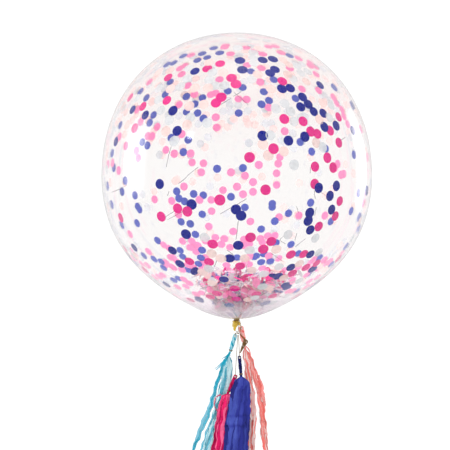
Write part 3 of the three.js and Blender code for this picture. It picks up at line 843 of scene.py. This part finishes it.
class BALLOON_OT_film(bpy.types.Operator):
    """Makes the clear film of the balloon and its amber knot"""
    bl_idname = "balloon.film"
    bl_label = "Make the balloon"

    def execute(self, context):
        settings = context.scene.balloon_body
        self.make_film(settings)
        self.make_haze_and_highlight(settings)
        self.make_knot(settings)
        return {"FINISHED"}

    def make_film(self, settings):
        neck, around = settings.neck_top, 128
        outer = film_profile(settings)
        outer += [
            (settings.neck_radius * 1.6, neck + 0.0016),
            (settings.neck_radius * 1.05, neck - 0.0005),
            (settings.neck_radius, neck - 0.002),
            (settings.neck_radius, neck - 0.009),
            (0.0, neck - 0.009),
        ]

        def fold(radius, height, angle):
            near = 1 - smooth(0.004, 0.05, height)
            return radius * (1 + 0.05 * near * math.cos(13 * angle + 40 * height))

        verts, faces = lathe(outer, around, fold)
        thick = settings.film_thickness
        inner = [(0.0, outer[0][1] - thick)]
        body = film_profile(settings)
        for (r0, z0), (r1, z1), (r2, z2) in zip(body, body[1:], body[2:]):
            along = Vector((r2 - r0, z2 - z0)).normalized()
            inner.append((r1 + along.y * thick, z1 - along.x * thick))
        low = inner[-1][1]
        inner += [(settings.neck_radius * 0.8, low - thick), (0.0, low - thick)]
        more, lids = lathe(inner, around, fold)
        start = len(verts)
        verts += more
        faces += [tuple(start + i for i in reversed(face)) for face in lids]
        amber = [1 - smooth(*AMBER_BAND, v[2]) for v in verts]
        haze = [1 - smooth(*HAZE_BAND, v[2]) for v in verts]
        crown = [smooth(*CROWN_BAND, v[2]) for v in verts]
        film = linked("balloon_film", mesh_from(
            "balloon_film", verts, faces, {"amber": amber, "haze": haze, "crown": crown}))
        shaded(film, film_material(settings))
        placed(film, "clear_latex", "balloon")

    def make_haze_and_highlight(self, settings):
        """A thin cloudy cup just inside the film, and a painted highlight on the crease from the
        neck.
        """
        rows, around = 26, 96
        foot = settings.neck_top + 0.006
        verts, faces, haze = [], [], []
        for k in range(rows + 1):
            height = foot + (CUP_TOP - foot) * (k / rows) ** 2
            radius = film_radius(settings, height) - CUP_INSET
            for i in range(around):
                angle = 2 * math.pi * i / around
                verts.append((radius * math.cos(angle), radius * math.sin(angle), height))
                haze.append(CUP_HAZE * (1 - smooth(0.014, CUP_TOP * 0.9, height)) ** 1.5)
        verts.append((0, 0, verts[0][2]))
        haze.append(haze[0])
        for i in range(around):
            j = (i + 1) % around
            faces.append((len(verts) - 1, j, i))
            for k in range(rows):
                a, b = k * around, (k + 1) * around
                faces.append((a + i, a + j, b + j, b + i))
        cup = linked("cup", mesh_from("cup", verts, faces, {"haze": haze}))
        wall = cup.modifiers.new("Wall", "SOLIDIFY")
        wall.thickness = 0.0002
        evaluated(cup)
        # A pale tube along the crease, a painted highlight that fades towards its top
        points = catmull([on_film(settings, bearing, height / 1000, PLEAT_INSET)[0]
                          for bearing, height in PLEAT], 0.002)
        sides = 8
        radii = [0.0008 * (1 - 0.7 * i / len(points)) for i in range(len(points))]
        verts, faces = tube(points, radii, sides)
        highlight_fade = [PLEAT_HIGHLIGHT * (1 - 0.9 * (i // sides) / len(points)) for i in range(len(verts))]
        pleat_highlight = linked("pleat_highlight", mesh_from("pleat_highlight", verts, faces, {"haze": highlight_fade}))
        whole = joined("film_haze_and_highlight", [cup, pleat_highlight])
        shaded(whole, haze_and_highlight_material(settings))
        placed(whole, "clear_latex")

    def make_knot(self, settings):
        lumps = []

        def shape(centre, tilt, scale):
            """Gives the object that was just added its place and shape in its mesh."""
            place = Matrix.Translation(centre) @ Matrix.Rotation(tilt, 4, "Y")
            bpy.context.object.data.transform(place @ Matrix.Diagonal((*scale, 1)))
            lumps.append(bpy.context.object)

        def lump(radii, centre, tilt=0.0):
            bpy.ops.mesh.primitive_uv_sphere_add(segments=32, ring_count=20, radius=1)
            shape(centre, tilt, radii)

        def ring(major, minor, centre, tilt, squash=1.0):
            bpy.ops.mesh.primitive_torus_add(
                major_radius=major, minor_radius=minor, major_segments=48, minor_segments=16)
            shape(centre, tilt, (1, squash, 1))

        lump((0.0085, 0.009, 0.011), (-0.0042, 0, -0.0125), 0.12)
        lump((0.0045, 0.005, 0.0105), (-0.0052, 0, -0.0225), 0.1)
        ring(0.0078, 0.0028, (-0.0035, 0, -0.0085), 0.62)
        ring(0.0072, 0.0024, (-0.0042, 0, -0.0155), -0.35)
        lump((0.0064, 0.0064, 0.006), (0, 0, -0.0035))
        ring(0.0058, 0.0017, (0.0093, 0.0005, -0.0115), 1.36, 0.62)
        lump((0.0068, 0.0042, 0.0056), (0.0045, 0.0003, -0.0105), -0.25)
        knot = joined("balloon_knot", lumps)
        blended = knot.modifiers.new("Blend", "REMESH")
        blended.mode = "VOXEL"
        blended.voxel_size = 0.0005
        softened = knot.modifiers.new("Soften", "SMOOTH")
        softened.iterations = 5
        evaluated(knot)
        shaded(knot, knot_material(settings))
        placed(knot, "clear_latex", "balloon")


# Confetti

def on_film(settings, bearing, height, inset):
    """A point just inside the film, and the way out of it."""
    step = 0.002
    radius = film_radius(settings, height)
    slope = (film_radius(settings, height + step) - film_radius(settings, height - step)) / step / 2
    angle = math.radians(bearing)
    outward = Vector((math.sin(angle), -math.cos(angle), -slope)).normalized()
    point = Vector((radius * math.sin(angle), -radius * math.cos(angle), height))
    return point - outward * inset, outward


def in_heap(settings, chance):
    """A random place in the heap, which is a funnel that stands on the neck."""
    height = HEAP_FOOT + HEAP_RISE * chance.random() ** 1.3
    reach = min(film_radius(settings, height - 0.011) - 0.006, 0.045 + 1.05 * (height - 0.02))
    radius = reach * math.sqrt(chance.random())
    angle = chance.uniform(-math.pi, math.pi)
    right = radius * math.sin(angle) + HEAP_LEAN * height
    return Vector((right, radius * math.cos(angle), height))


def kept_in(settings, point):
    """The point, moved inwards where it would be too near the film."""
    height = max(point.z, 0.018)
    reach = film_radius(settings, height - 0.004) - 0.005
    away = math.hypot(point.x, point.y)
    inwards = min(1.0, reach / max(away, 0.0001))
    return Vector((point.x * inwards, point.y * inwards, height))


class BALLOON_OT_confetti(bpy.types.Operator):
    """Strews tissue discs over the film and heaps some at the bottom"""
    bl_idname = "balloon.confetti"
    bl_label = "Strew the confetti"

    def execute(self, context):
        body = context.scene.balloon_body
        settings = context.scene.balloon_confetti
        chance = random.Random(settings.seed)
        places = {"navy": [], "pink": [], "blush": [], "silver": []}
        listed = (("navy", NAVY_FRONT), ("navy", NAVY_BACK), ("pink", PINK_FRONT),
                  ("pink", PINK_BACK), ("silver", SILVER_FRONT), ("blush", BLUSH_FRONT))
        for colour, rows in listed:
            for bearing, height in rows:
                inset = chance.uniform(*LISTED_INSET)
                places[colour].append(on_film(body, bearing, height / 1000, inset))
        self.strew(body, settings, chance, places)
        self.heap(body, settings, chance, places)
        group = tone_group()
        tree = disc_tree()
        for colour, rows in places.items():
            self.make(colour, rows, settings, chance, group, tree)
        return {"FINISHED"}

    def strew(self, body, settings, chance, places):
        """Fewest at the middle heights, and coloured discs only in the lowest part."""
        made = 0
        while made < settings.scattered:
            height = chance.uniform(0.06, 0.842)
            bearing = 180 + chance.uniform(-120, 120)
            crowded = 0.2 + smooth(0.5, 0.66, height) * 0.8 + smooth(0.28, 0.16, height) * 1.3
            wide = film_radius(body, height) / (body.diameter / 2)
            if chance.random() > crowded * wide:
                continue
            inset = chance.uniform(*STREWN_INSET)
            pale = ["blush", "silver"]
            colour = chance.choice(pale if height > 0.23 else pale + ["pink", "pink", "navy"])
            places[colour].append(on_film(body, bearing, height, inset))
            made += 1

    def heap(self, body, settings, chance, places):
        colours = [colour for colour, parts in HEAP_PARTS.items() for _ in range(parts)]
        for _ in range(settings.heaped):
            facing = Vector([chance.gauss(0, 1) for _ in range(3)])
            places[chance.choice(colours)].append((in_heap(body, chance), facing.normalized()))

    def make(self, colour, rows, settings, chance, group, tree):
        facing = [out for _, out in rows]
        size = [(s, s, 1) for s in (chance.uniform(0.95, 1.03) for _ in rows)]
        tone = [chance.uniform(0.9, 1.06) for _ in rows]
        mesh = mesh_from(colour, [p for p, _ in rows], [], {
            "facing": facing, "size": size, "tone": tone})
        name = "confetti_" + colour
        # The inside colour is the painted veil of light over the discs on the far side
        shade, inside = getattr(settings, colour), getattr(settings, colour + "_inside")
        pale = Vector(shade).lerp(Vector(inside), 0.06)
        mat = tissue(name, shade, pale, group, (150.0, 150.0, 150.0), inside,
                     DISC_ALPHA[colour])
        made = grown(name, mesh, tree, {
            "Diameter": settings.disc_diameter, "Thickness": settings.disc_thickness,
            "Material": mat})
        placed(made, name)


class BALLOON_OT_shreds(bpy.types.Operator):
    """Lays crinkled film strips in the heap and a few straight ones on the film"""
    bl_idname = "balloon.shreds"
    bl_label = "Lay the film shreds"

    def execute(self, context):
        body = context.scene.balloon_body
        settings = context.scene.balloon_confetti
        chance = random.Random(settings.shred_seed)
        strips = Strips()
        for _ in range(settings.shreds):
            centre = in_heap(body, chance)
            way = Vector((chance.gauss(0, 1), chance.gauss(0, 1), chance.gauss(0, 0.5)))
            way.normalize()
            side = way.orthogonal().normalized()
            long = chance.uniform(0.035, 0.07)
            bend = chance.uniform(-0.3, 0.3)
            points = []
            steps = 10
            for i in range(steps):
                share = i / (steps - 1) - 0.5
                curl = side * (bend * long * (share * share - 0.08))
                zig = side.cross(way) * (0.0016 * (-1) ** i)
                points.append(kept_in(body, centre + way * (share * long) + curl + zig))
            width = chance.uniform(0.0025, 0.006)
            strips.add(points, [side] * steps, [width / 2] * steps, chance.uniform(0.55, 1.0))
        for places in TINSEL:
            corners = [on_film(body, bearing, height / 1000, TINSEL_INSET)
                       for bearing, height in places]
            points = catmull([point for point, _ in corners], 0.006)
            way = (points[-1] - points[0]).normalized()
            side = way.cross(corners[0][1]).normalized()
            strips.add(points, [side] * len(points), [0.0009] * len(points), 0.1)
        made = grown("film_shreds", strips.mesh(), strip_tree(), {
            "Thickness": 0.16, "Crumple": 0.003, "Fineness": 120.0,
            "Material": shred_material()})
        placed(made, "film_shreds")
        return {"FINISHED"}


# Threads

class BALLOON_OT_threads(bpy.types.Operator):
    """Makes the gold threads, the gathering knot and every winding"""
    bl_idname = "balloon.threads"
    bl_label = "Make the threads"

    def execute(self, context):
        settings = context.scene.balloon_thread
        body = context.scene.balloon_body
        tassels = context.scene.balloon_tassels
        mat = thread_material(settings)
        for name, route in ROUTES.items():
            self.thread(name, route, settings, mat)
        self.gather(settings, mat)
        self.hank(settings, mat)
        tree = winding_tree()
        self.winding("neck_winding", settings.neck_turns, body.neck_radius, Matrix(), settings,
                     mat, tree)
        for colour, facts in TASSELS.items():
            down = leaning(facts["head_lean"])
            tie = Vector(facts["top"]) + down * tassels.head_length
            turn = down.to_track_quat("-Z", "Y").to_matrix().to_4x4()
            self.winding("tie_" + colour, facts["turns"], tassels.pinch_radius,
                         Matrix.Translation(tie) @ turn, settings, mat, tree)
        return {"FINISHED"}

    def thread(self, name, route, settings, mat):
        points = catmull(route, 0.0012)
        diameter = settings.lashing_diameter if name == "lashing" else settings.diameter
        curve = bpy.data.curves.new(name + "_gold", "CURVE")
        curve.dimensions = "3D"
        curve.bevel_depth = diameter / 2
        curve.bevel_resolution = 3
        curve.use_fill_caps = True
        line = curve.splines.new("POLY")
        line.points.add(len(points) - 1)
        for point, place in zip(line.points, points):
            point.co = (*place, 1)
        curve.materials.append(mat)
        obj = linked(name + "_gold", curve)
        placed(obj, "gold_thread", name)

    def gather(self, settings, mat):
        """A thread that goes twice round the middle while it passes in and out three times."""
        centre, radius = Vector(GATHER), 0.0019
        steps, rounds = 96, 2
        points = []
        for i in range(steps):
            angle = 2 * math.pi * i / steps * rounds
            swing = angle * 1.5
            wide = radius * (2 + math.cos(swing)) * 0.5
            points.append(centre + Vector((
                wide * math.cos(angle), wide * math.sin(angle), radius * math.sin(swing) * 0.5)))
        points += points[:2]
        verts, faces = tube(points, [settings.diameter / 2] * len(points), 10)
        knot = linked("gathering_knot_gold", mesh_from("gather", verts, faces))
        shaded(knot, mat)
        placed(knot, "gold_thread", "gathering_knot")

    def hank(self, settings, mat):
        """The loose turns that fill the lashing, from the tie back to the navy thread."""
        start, bend, end = (Vector(ROUTES["lashing"][i]) for i in (1, 2, 4))
        strands = []
        count = 7
        for i in range(count):
            share = 0.15 + 0.7 * i / (count - 1)
            first = start.lerp(bend, share)
            middle = first.lerp(end, 0.5) + Vector((0.003 * math.sin(i * 2.1), -0.003, 0.0))
            points = catmull([first, middle, end], 0.003)
            verts, faces = tube(points, [settings.diameter / 2] * len(points), 8)
            strands.append(linked("strand", mesh_from("strand", verts, faces)))
        whole = joined("lashing_strands", strands)
        shaded(whole, mat)
        placed(whole, "gold_thread")

    def winding(self, node, turns, inner, place, settings, mat, tree):
        mesh = mesh_from(node, [(0, 0, 0)], [])
        made = grown(node + "_gold", mesh, tree, {
            "Turns": float(turns), "Radius": inner + WINDING_GAP + settings.diameter / 2,
            "Thread diameter": settings.diameter, "Material": mat})
        made.data.transform(place)
        shaded(made)
        placed(made, "gold_thread", node)


# Tassels

def leaning(lean):
    right, back = (math.sin(math.radians(a)) for a in lean)
    return Vector((right, back, -math.sqrt(1 - right ** 2 - back ** 2)))


class BALLOON_OT_tassels(bpy.types.Operator):
    """Makes the four tissue tassels"""
    bl_idname = "balloon.tassels"
    bl_label = "Make the tassels"

    def execute(self, context):
        settings = context.scene.balloon_tassels
        thread = context.scene.balloon_thread
        group = bpy.data.node_groups["Tissue surface"]
        tree = strip_tree()
        for colour, facts in TASSELS.items():
            shade, pale = getattr(settings, colour), getattr(settings, colour + "_pale")
            mat = tissue("tissue_" + colour, shade, pale, group, (110.0, 110.0, 12.0),
                         alpha=facts["alpha"], bumps=0.7)
            lamps_pass(mat.node_tree, facts["lit"])
            solid = tissue("tissue_head_" + colour, shade, pale, group, (300.0, 300.0, 90.0))
            head = self.head(colour, facts, settings, thread, solid)
            fringe = self.fringe(colour, facts, settings, thread, mat, tree)
            whole = joined("tassel_tissue_" + colour, [head, fringe])
            placed(whole, "tissue_" + colour, "tassel_" + colour)
        return {"FINISHED"}

    def head(self, colour, facts, settings, thread, mat):
        top, radius, turns = Vector(facts["top"]), facts["head_radius"], facts["turns"]
        down = leaning(facts["head_lean"])
        side = -Vector((0, 1, 0)).cross(down)
        side.normalize()
        back = -down.cross(side)
        length, pinch = settings.head_length, settings.pinch_radius
        grip = turns / 2 * thread.diameter + 0.001
        flat = EYE_HALF_DEPTH / radius
        rows = [
            (0.0, radius * 0.62, flat * 0.8), (0.0015, radius * 0.9, flat),
            (EYE_DROP, radius, flat), (0.0102, radius, flat * 1.1), (0.018, radius, 0.85),
            (length * 0.48, radius, 1.0), (length * 0.64, radius, 1.0),
            (length - grip - 0.005, radius * 0.94, 1.0), (length - grip, pinch, 1.0),
            (length + grip, pinch, 1.0), (length + grip + HUB_LENGTH, pinch * 0.6, 1.0),
        ]
        steps, around = 80, 64
        verts, tones = [top], [facts["head_tone"]]
        end = rows[-1][0]
        for k in range(steps + 1):
            along = end * k / steps
            for (a, ra, da), (b, rb, db) in zip(rows, rows[1:]):
                if along <= b + 1e-9:
                    share = smooth(a, b, along)
                    wide, deep = ra + (rb - ra) * share, da + (db - da) * share
                    break
            waist = length - grip
            free = smooth(0.008, 0.016, along) * (1 - smooth(waist - 0.004, waist, along))
            turn = 2 * math.pi * 1.25 * along / length
            for i in range(around):
                angle = 2 * math.pi * i / around
                groove = 0.5 + 0.5 * math.cos(2 * (angle - turn))
                relief = 0.15 * groove ** 3
                relief += 0.05 * math.cos(7 * (angle - turn) + facts["seed"])
                relief += 0.03 * math.cos(16 * (angle - turn) + along * 300)
                out = wide * (1 - relief * free)
                verts.append(top + down * along + side * (out * math.cos(angle))
                             + back * (out * math.sin(angle) * deep))
                # The tone is darker in the grooves and hollows of the relief: painted shade
                tones.append(facts["head_tone"] * (
                    1.05 - 0.5 * free * groove ** 3
                    - 0.12 * math.cos(7 * (angle - turn) + facts["seed"])))
        verts.append(top + down * end)
        tones.append(facts["head_tone"])
        mesh = mesh_from("head", verts, ringed(steps + 1, around), {"tone": tones})
        solid = bmesh.new()
        solid.from_mesh(mesh)
        bmesh.ops.recalc_face_normals(solid, faces=solid.faces)
        solid.to_mesh(mesh)
        solid.free()
        obj = linked("head_" + colour, mesh)
        shaded(obj, mat)
        bpy.ops.mesh.primitive_cylinder_add(vertices=24, radius=EYE_RADIUS, depth=0.03)
        hole = bpy.context.object
        eye = top + down * EYE_DROP
        hole.data.transform(Matrix.Translation(eye) @ Matrix.Rotation(math.pi / 2, 4, "X"))
        cut = obj.modifiers.new("Eye", "BOOLEAN")
        cut.operation = "DIFFERENCE"
        cut.object = hole
        cut.solver = "EXACT"
        evaluated(obj)
        bpy.data.objects.remove(hole)
        return obj

    def fringe(self, colour, facts, settings, thread, mat, tree):
        chance = random.Random(facts["seed"])
        down = leaning(facts["head_lean"])
        tie = Vector(facts["top"]) + down * settings.head_length
        root = tie + down * (facts["turns"] / 2 * thread.diameter + ROOT_DROP)
        shoulder = root + down * HUB_LENGTH
        end = tie + leaning(facts["fringe_lean"]) * settings.fringe_length
        middle = shoulder.lerp(end, 0.45) + Vector((facts["bow"], 0, 0))
        route = catmull([root, shoulder, middle, end], 0.004)
        strips = Strips()
        steps = 56
        places = []
        for low, high, share, flare in facts["bunches"]:
            count = round(settings.strips * share)
            places += [(low + (high - low) * (n + 0.5) / count, flare, n in (0, count - 1))
                       for n in range(count)]
        for sideways, flare, outer in places:
            sideways += chance.uniform(-0.06, 0.06)
            level = chance.uniform(-1, 1) * math.sqrt(max(0.1, 1 - sideways ** 2))
            length = 1 - 0.09 * chance.random()
            width = settings.strip_width * facts["width"] * chance.uniform(0.6, 1.4)
            heading = chance.gauss(0, 0.35)
            twist = chance.gauss(0, 0.7)
            sway = chance.uniform(-0.004, 0.004)
            wave = chance.uniform(0, 6)
            tone = facts["edge_tone"] if outer else chance.choice(facts["tones"])
            tone *= chance.uniform(0.92, 1.08)
            points, across, half, shade = [], [], [], []
            for i in range(steps + 1):
                share = (i / steps) ** 1.4
                centre = at_share(route, share * length)
                opened = smooth(0, 1, share * settings.fringe_length / facts["shoulder"])
                offset = sideways * facts["spread"] * share ** flare
                offset += sway * math.sin(share * 7 + wave) * opened
                deep = level * settings.depth * min(1.0, share * 9)
                deep += 0.003 * math.sin(share * 11 + wave * 2) * opened
                points.append(centre + Vector((offset * opened, deep, 0)))
                angle = heading + twist * share + 0.3 * math.sin(share * 15 + wave)
                across.append((math.cos(angle), math.sin(angle), 0))
                wide = ROOT_WIDTH + (width - ROOT_WIDTH) * opened
                half.append(wide / 2 * (1 - 0.4 * smooth(0.88, 1.0, share)))
                # Darker where the strips crowd under the tie and at the crease heights: painted
                # shade
                crease_shade = sum(math.exp(-((points[-1].z - crease) / 0.003) ** 2)
                            for crease in facts["crease_shade_heights"])
                shade.append(tone * (1 - 0.3 * (1 - opened)) * (1 - 0.35 * crease_shade))
            strips.add(points, across, half, shade, opened=0.05)
        for width, places in WISPS[colour]:
            points = catmull(places, 0.004)
            across = []
            for i in range(len(points)):
                way = points[min(i + 1, len(points) - 1)] - points[max(i - 1, 0)]
                turned = 0.6 * math.sin(i * 0.35 + width * 900)
                across.append((-way.z, turned * way.length, way.x))
            half = [width / 2 * (1 - 0.6 * i / len(points)) for i in range(len(points))]
            strips.add(points, across, half, facts["edge_tone"], opened=0.2)
        made = grown("fringe_" + colour, strips.mesh(), tree, {
            "Thickness": 0.04, "Crumple": 0.016, "Fineness": 46.0, "Material": mat})
        return shaded(made)


class Strips:
    """Lines that the ribbon tree turns into strips, with what each point needs."""

    def __init__(self):
        self.verts, self.edges = [], []
        self.facts = {"across": [], "half_width": [], "tone": [], "free": []}

    def add(self, points, across, half, shade, opened=0.0):
        """Opened is the share of the strip over which it comes free to crumple."""
        start = len(self.verts)
        count = len(points)
        self.verts.extend(points)
        self.edges.extend((start + i, start + i + 1) for i in range(count - 1))
        self.facts["across"].extend(across)
        self.facts["half_width"].extend(half)
        self.facts["tone"].extend(shade if hasattr(shade, "__len__") else [shade] * count)
        self.facts["free"].extend(
            1.0 if not opened else min(1.0, i / count / opened) for i in range(count))

    def mesh(self):
        return mesh_from("strips", self.verts, [], self.facts, self.edges)


# The stage

class BALLOON_OT_stage(bpy.types.Operator):
    """Sets up the floor, the lights and the camera"""
    bl_idname = "balloon.stage"
    bl_label = "Set the stage"

    def execute(self, context):
        settings = context.scene.balloon_stage
        self.floor(settings)
        self.light("softbox_left", (-2.6, -0.1, 0.85), (1.5, 2.3), 90, mirrored_only=True)
        self.light("softbox_right", (2.3, 1.3, 0.75), (1.2, 2.0), 50, mirrored_only=True)
        self.light("softbox_top", (0.3, -0.9, 3.2), (2.4, 2.4), 24)
        self.light("highlight", (-1.6, -2.1, 1.5), (0.3, 0.3), 9, mirrored_only=True)
        self.light("key", (-1.9, -2.6, 2.1), (1.8, 1.8), 60, matt_only=True)
        self.glow(context.scene.balloon_body)
        self.world()
        self.camera(settings)
        context.scene.view_settings.view_transform = "Standard"
        return {"FINISHED"}

    def floor(self, settings):
        rings, segments = 24, 64
        verts = [(0, 0, settings.floor_height)]
        for k in range(1, rings + 1):
            share = k / rings
            radius = settings.floor_radius * share
            height = settings.floor_height + settings.floor_rim * smooth(0.55, 1.0, share)
            for i in range(segments):
                angle = 2 * math.pi * i / segments
                verts.append((radius * math.cos(angle), radius * math.sin(angle), height))
        mat, tree, shader = material("pale_floor")
        fed(tree, shader, {
            "Base Color": (0.0, 0.0, 0.0, 1.0), "Roughness": 1.0, "Specular IOR Level": 0.0,
            "Emission Color": (1.0, 1.0, 1.0, 1.0),
            "Emission Strength": ranged(tree, self.looked_at(tree), 0.0, 1.0, 0.95, 1.1)})
        faces = ringed(rings, segments, closed=False)
        obj = linked("floor", mesh_from("floor", verts, faces))
        shaded(obj, mat)
        obj.visible_glossy = False

    def looked_at(self, tree):
        """1 for rays that come straight from the camera or through glass, otherwise 0."""
        rays = added(tree, "ShaderNodeLightPath").outputs
        return worked(tree, "MAXIMUM", rays["Is Camera Ray"], rays["Is Transmission Ray"])

    def light(self, name, place, size, power, mirrored_only=False, matt_only=False):
        lamp = bpy.data.lights.new(name, "AREA")
        lamp.shape = "RECTANGLE"
        lamp.size, lamp.size_y = size
        lamp.energy = power
        lamp.use_nodes = True
        self.soften(lamp.node_tree)
        obj = linked(name, lamp)
        obj.location = place
        aim = Vector((0, 0, 0.35)) - Vector(place)
        obj.rotation_euler = aim.to_track_quat("-Z", "Y").to_euler()
        obj.visible_camera = False
        obj.visible_transmission = False
        obj.visible_diffuse = not mirrored_only
        obj.visible_glossy = not matt_only

    def glow(self, body):
        """Stands in for the light that the film throws to and fro inside the balloon."""
        lamp = bpy.data.lights.new("glow", "POINT")
        lamp.energy = 3.0
        lamp.shadow_soft_size = 0.2
        obj = linked("glow", lamp)
        obj.location = (0, 0, body.neck_top + body.widest_height)
        obj.visible_camera = False
        obj.visible_glossy = False
        obj.visible_transmission = False

    def soften(self, tree):
        """Fades a lamp towards its edges."""
        where = added(tree, "ShaderNodeNewGeometry")
        middle = added(tree, "ShaderNodeVectorMath", {
            0: where.outputs["Parametric"], 1: (0.5, 0.5, 0.0)}, operation="SUBTRACT")
        parts = added(tree, "ShaderNodeSeparateXYZ", {0: middle.outputs[0]})
        fades = []
        for axis in "XY":
            away = worked(tree, "ABSOLUTE", parts.outputs[axis], 0.0)
            fades.append(ranged(tree, away, 0.12, 0.5, 1.0, 0.0,
                                interpolation_type="SMOOTHSTEP"))
        strength = worked(tree, "MULTIPLY", *fades)
        fed(tree, tree.nodes["Emission"], {"Strength": strength})

    def world(self):
        world = bpy.data.worlds.new("Studio")
        bpy.context.scene.world = world
        world.use_nodes = True
        tree = world.node_tree
        path = added(tree, "ShaderNodeLightPath")
        way = added(tree, "ShaderNodeTexCoord")
        parts = added(tree, "ShaderNodeSeparateXYZ", {0: way.outputs["Generated"]})
        mirrored = ranged(tree, parts.outputs["Y"], -0.2, 0.7, 0.08, 0.9)
        dim = added(tree, "ShaderNodeMix", {
            0: path.outputs["Is Glossy Ray"], 2: 1.08, 3: mirrored}, data_type="FLOAT")
        seen = added(tree, "ShaderNodeMix", {
            0: self.looked_at(tree), 2: dim.outputs[0], 3: 1.1}, data_type="FLOAT")
        fed(tree, tree.nodes["Background"], {
            "Color": (1.0, 1.0, 1.0, 1.0), "Strength": seen.outputs[0]})

    def camera(self, settings):
        data = bpy.data.cameras.new("Camera")
        data.lens = settings.lens
        data.sensor_width = 36
        cam = linked("Camera", data)
        cam.location = (settings.camera_side, -settings.camera_distance,
                        settings.camera_height)
        cam.rotation_euler = (math.pi / 2, 0, 0)
        bpy.context.scene.camera = cam


class BALLOON_PT_panel(bpy.types.Panel):
    """Sizes, colours and steps of the balloon"""
    bl_idname = "BALLOON_PT_panel"
    bl_label = "Confetti balloon"
    bl_space_type = "VIEW_3D"
    bl_region_type = "UI"
    bl_category = "Balloon"

    def draw(self, context):
        scene = context.scene
        for label in SETTINGS:
            group = getattr(scene, label)
            column = self.layout.column(align=True)
            for name in group.__annotations__:
                column.prop(group, name)
        for step in STEPS:
            self.layout.operator(step.bl_idname)


SETTINGS = {
    "balloon_body": BalloonSettings,
    "balloon_confetti": ConfettiSettings,
    "balloon_thread": ThreadSettings,
    "balloon_tassels": TasselSettings,
    "balloon_stage": StageSettings,
}
STEPS = [
    BALLOON_OT_film,
    BALLOON_OT_confetti,
    BALLOON_OT_shreds,
    BALLOON_OT_tassels,
    BALLOON_OT_threads,
    BALLOON_OT_stage,
]


def register():
    for group in SETTINGS.values():
        bpy.utils.register_class(group)
    for step in (*STEPS, BALLOON_PT_panel):
        bpy.utils.register_class(step)
    for label, group in SETTINGS.items():
        setattr(bpy.types.Scene, label, PointerProperty(type=group))


def unregister():
    for label in SETTINGS:
        delattr(bpy.types.Scene, label)
    for step in (BALLOON_PT_panel, *reversed(STEPS)):
        bpy.utils.unregister_class(step)
    for group in SETTINGS.values():
        bpy.utils.unregister_class(group)


def main():
    register()
    bpy.ops.balloon.film()
    bpy.ops.balloon.confetti()
    bpy.ops.balloon.shreds()
    bpy.ops.balloon.tassels()
    bpy.ops.balloon.threads()
    bpy.ops.balloon.stage()


if __name__ == "__main__":
    main()
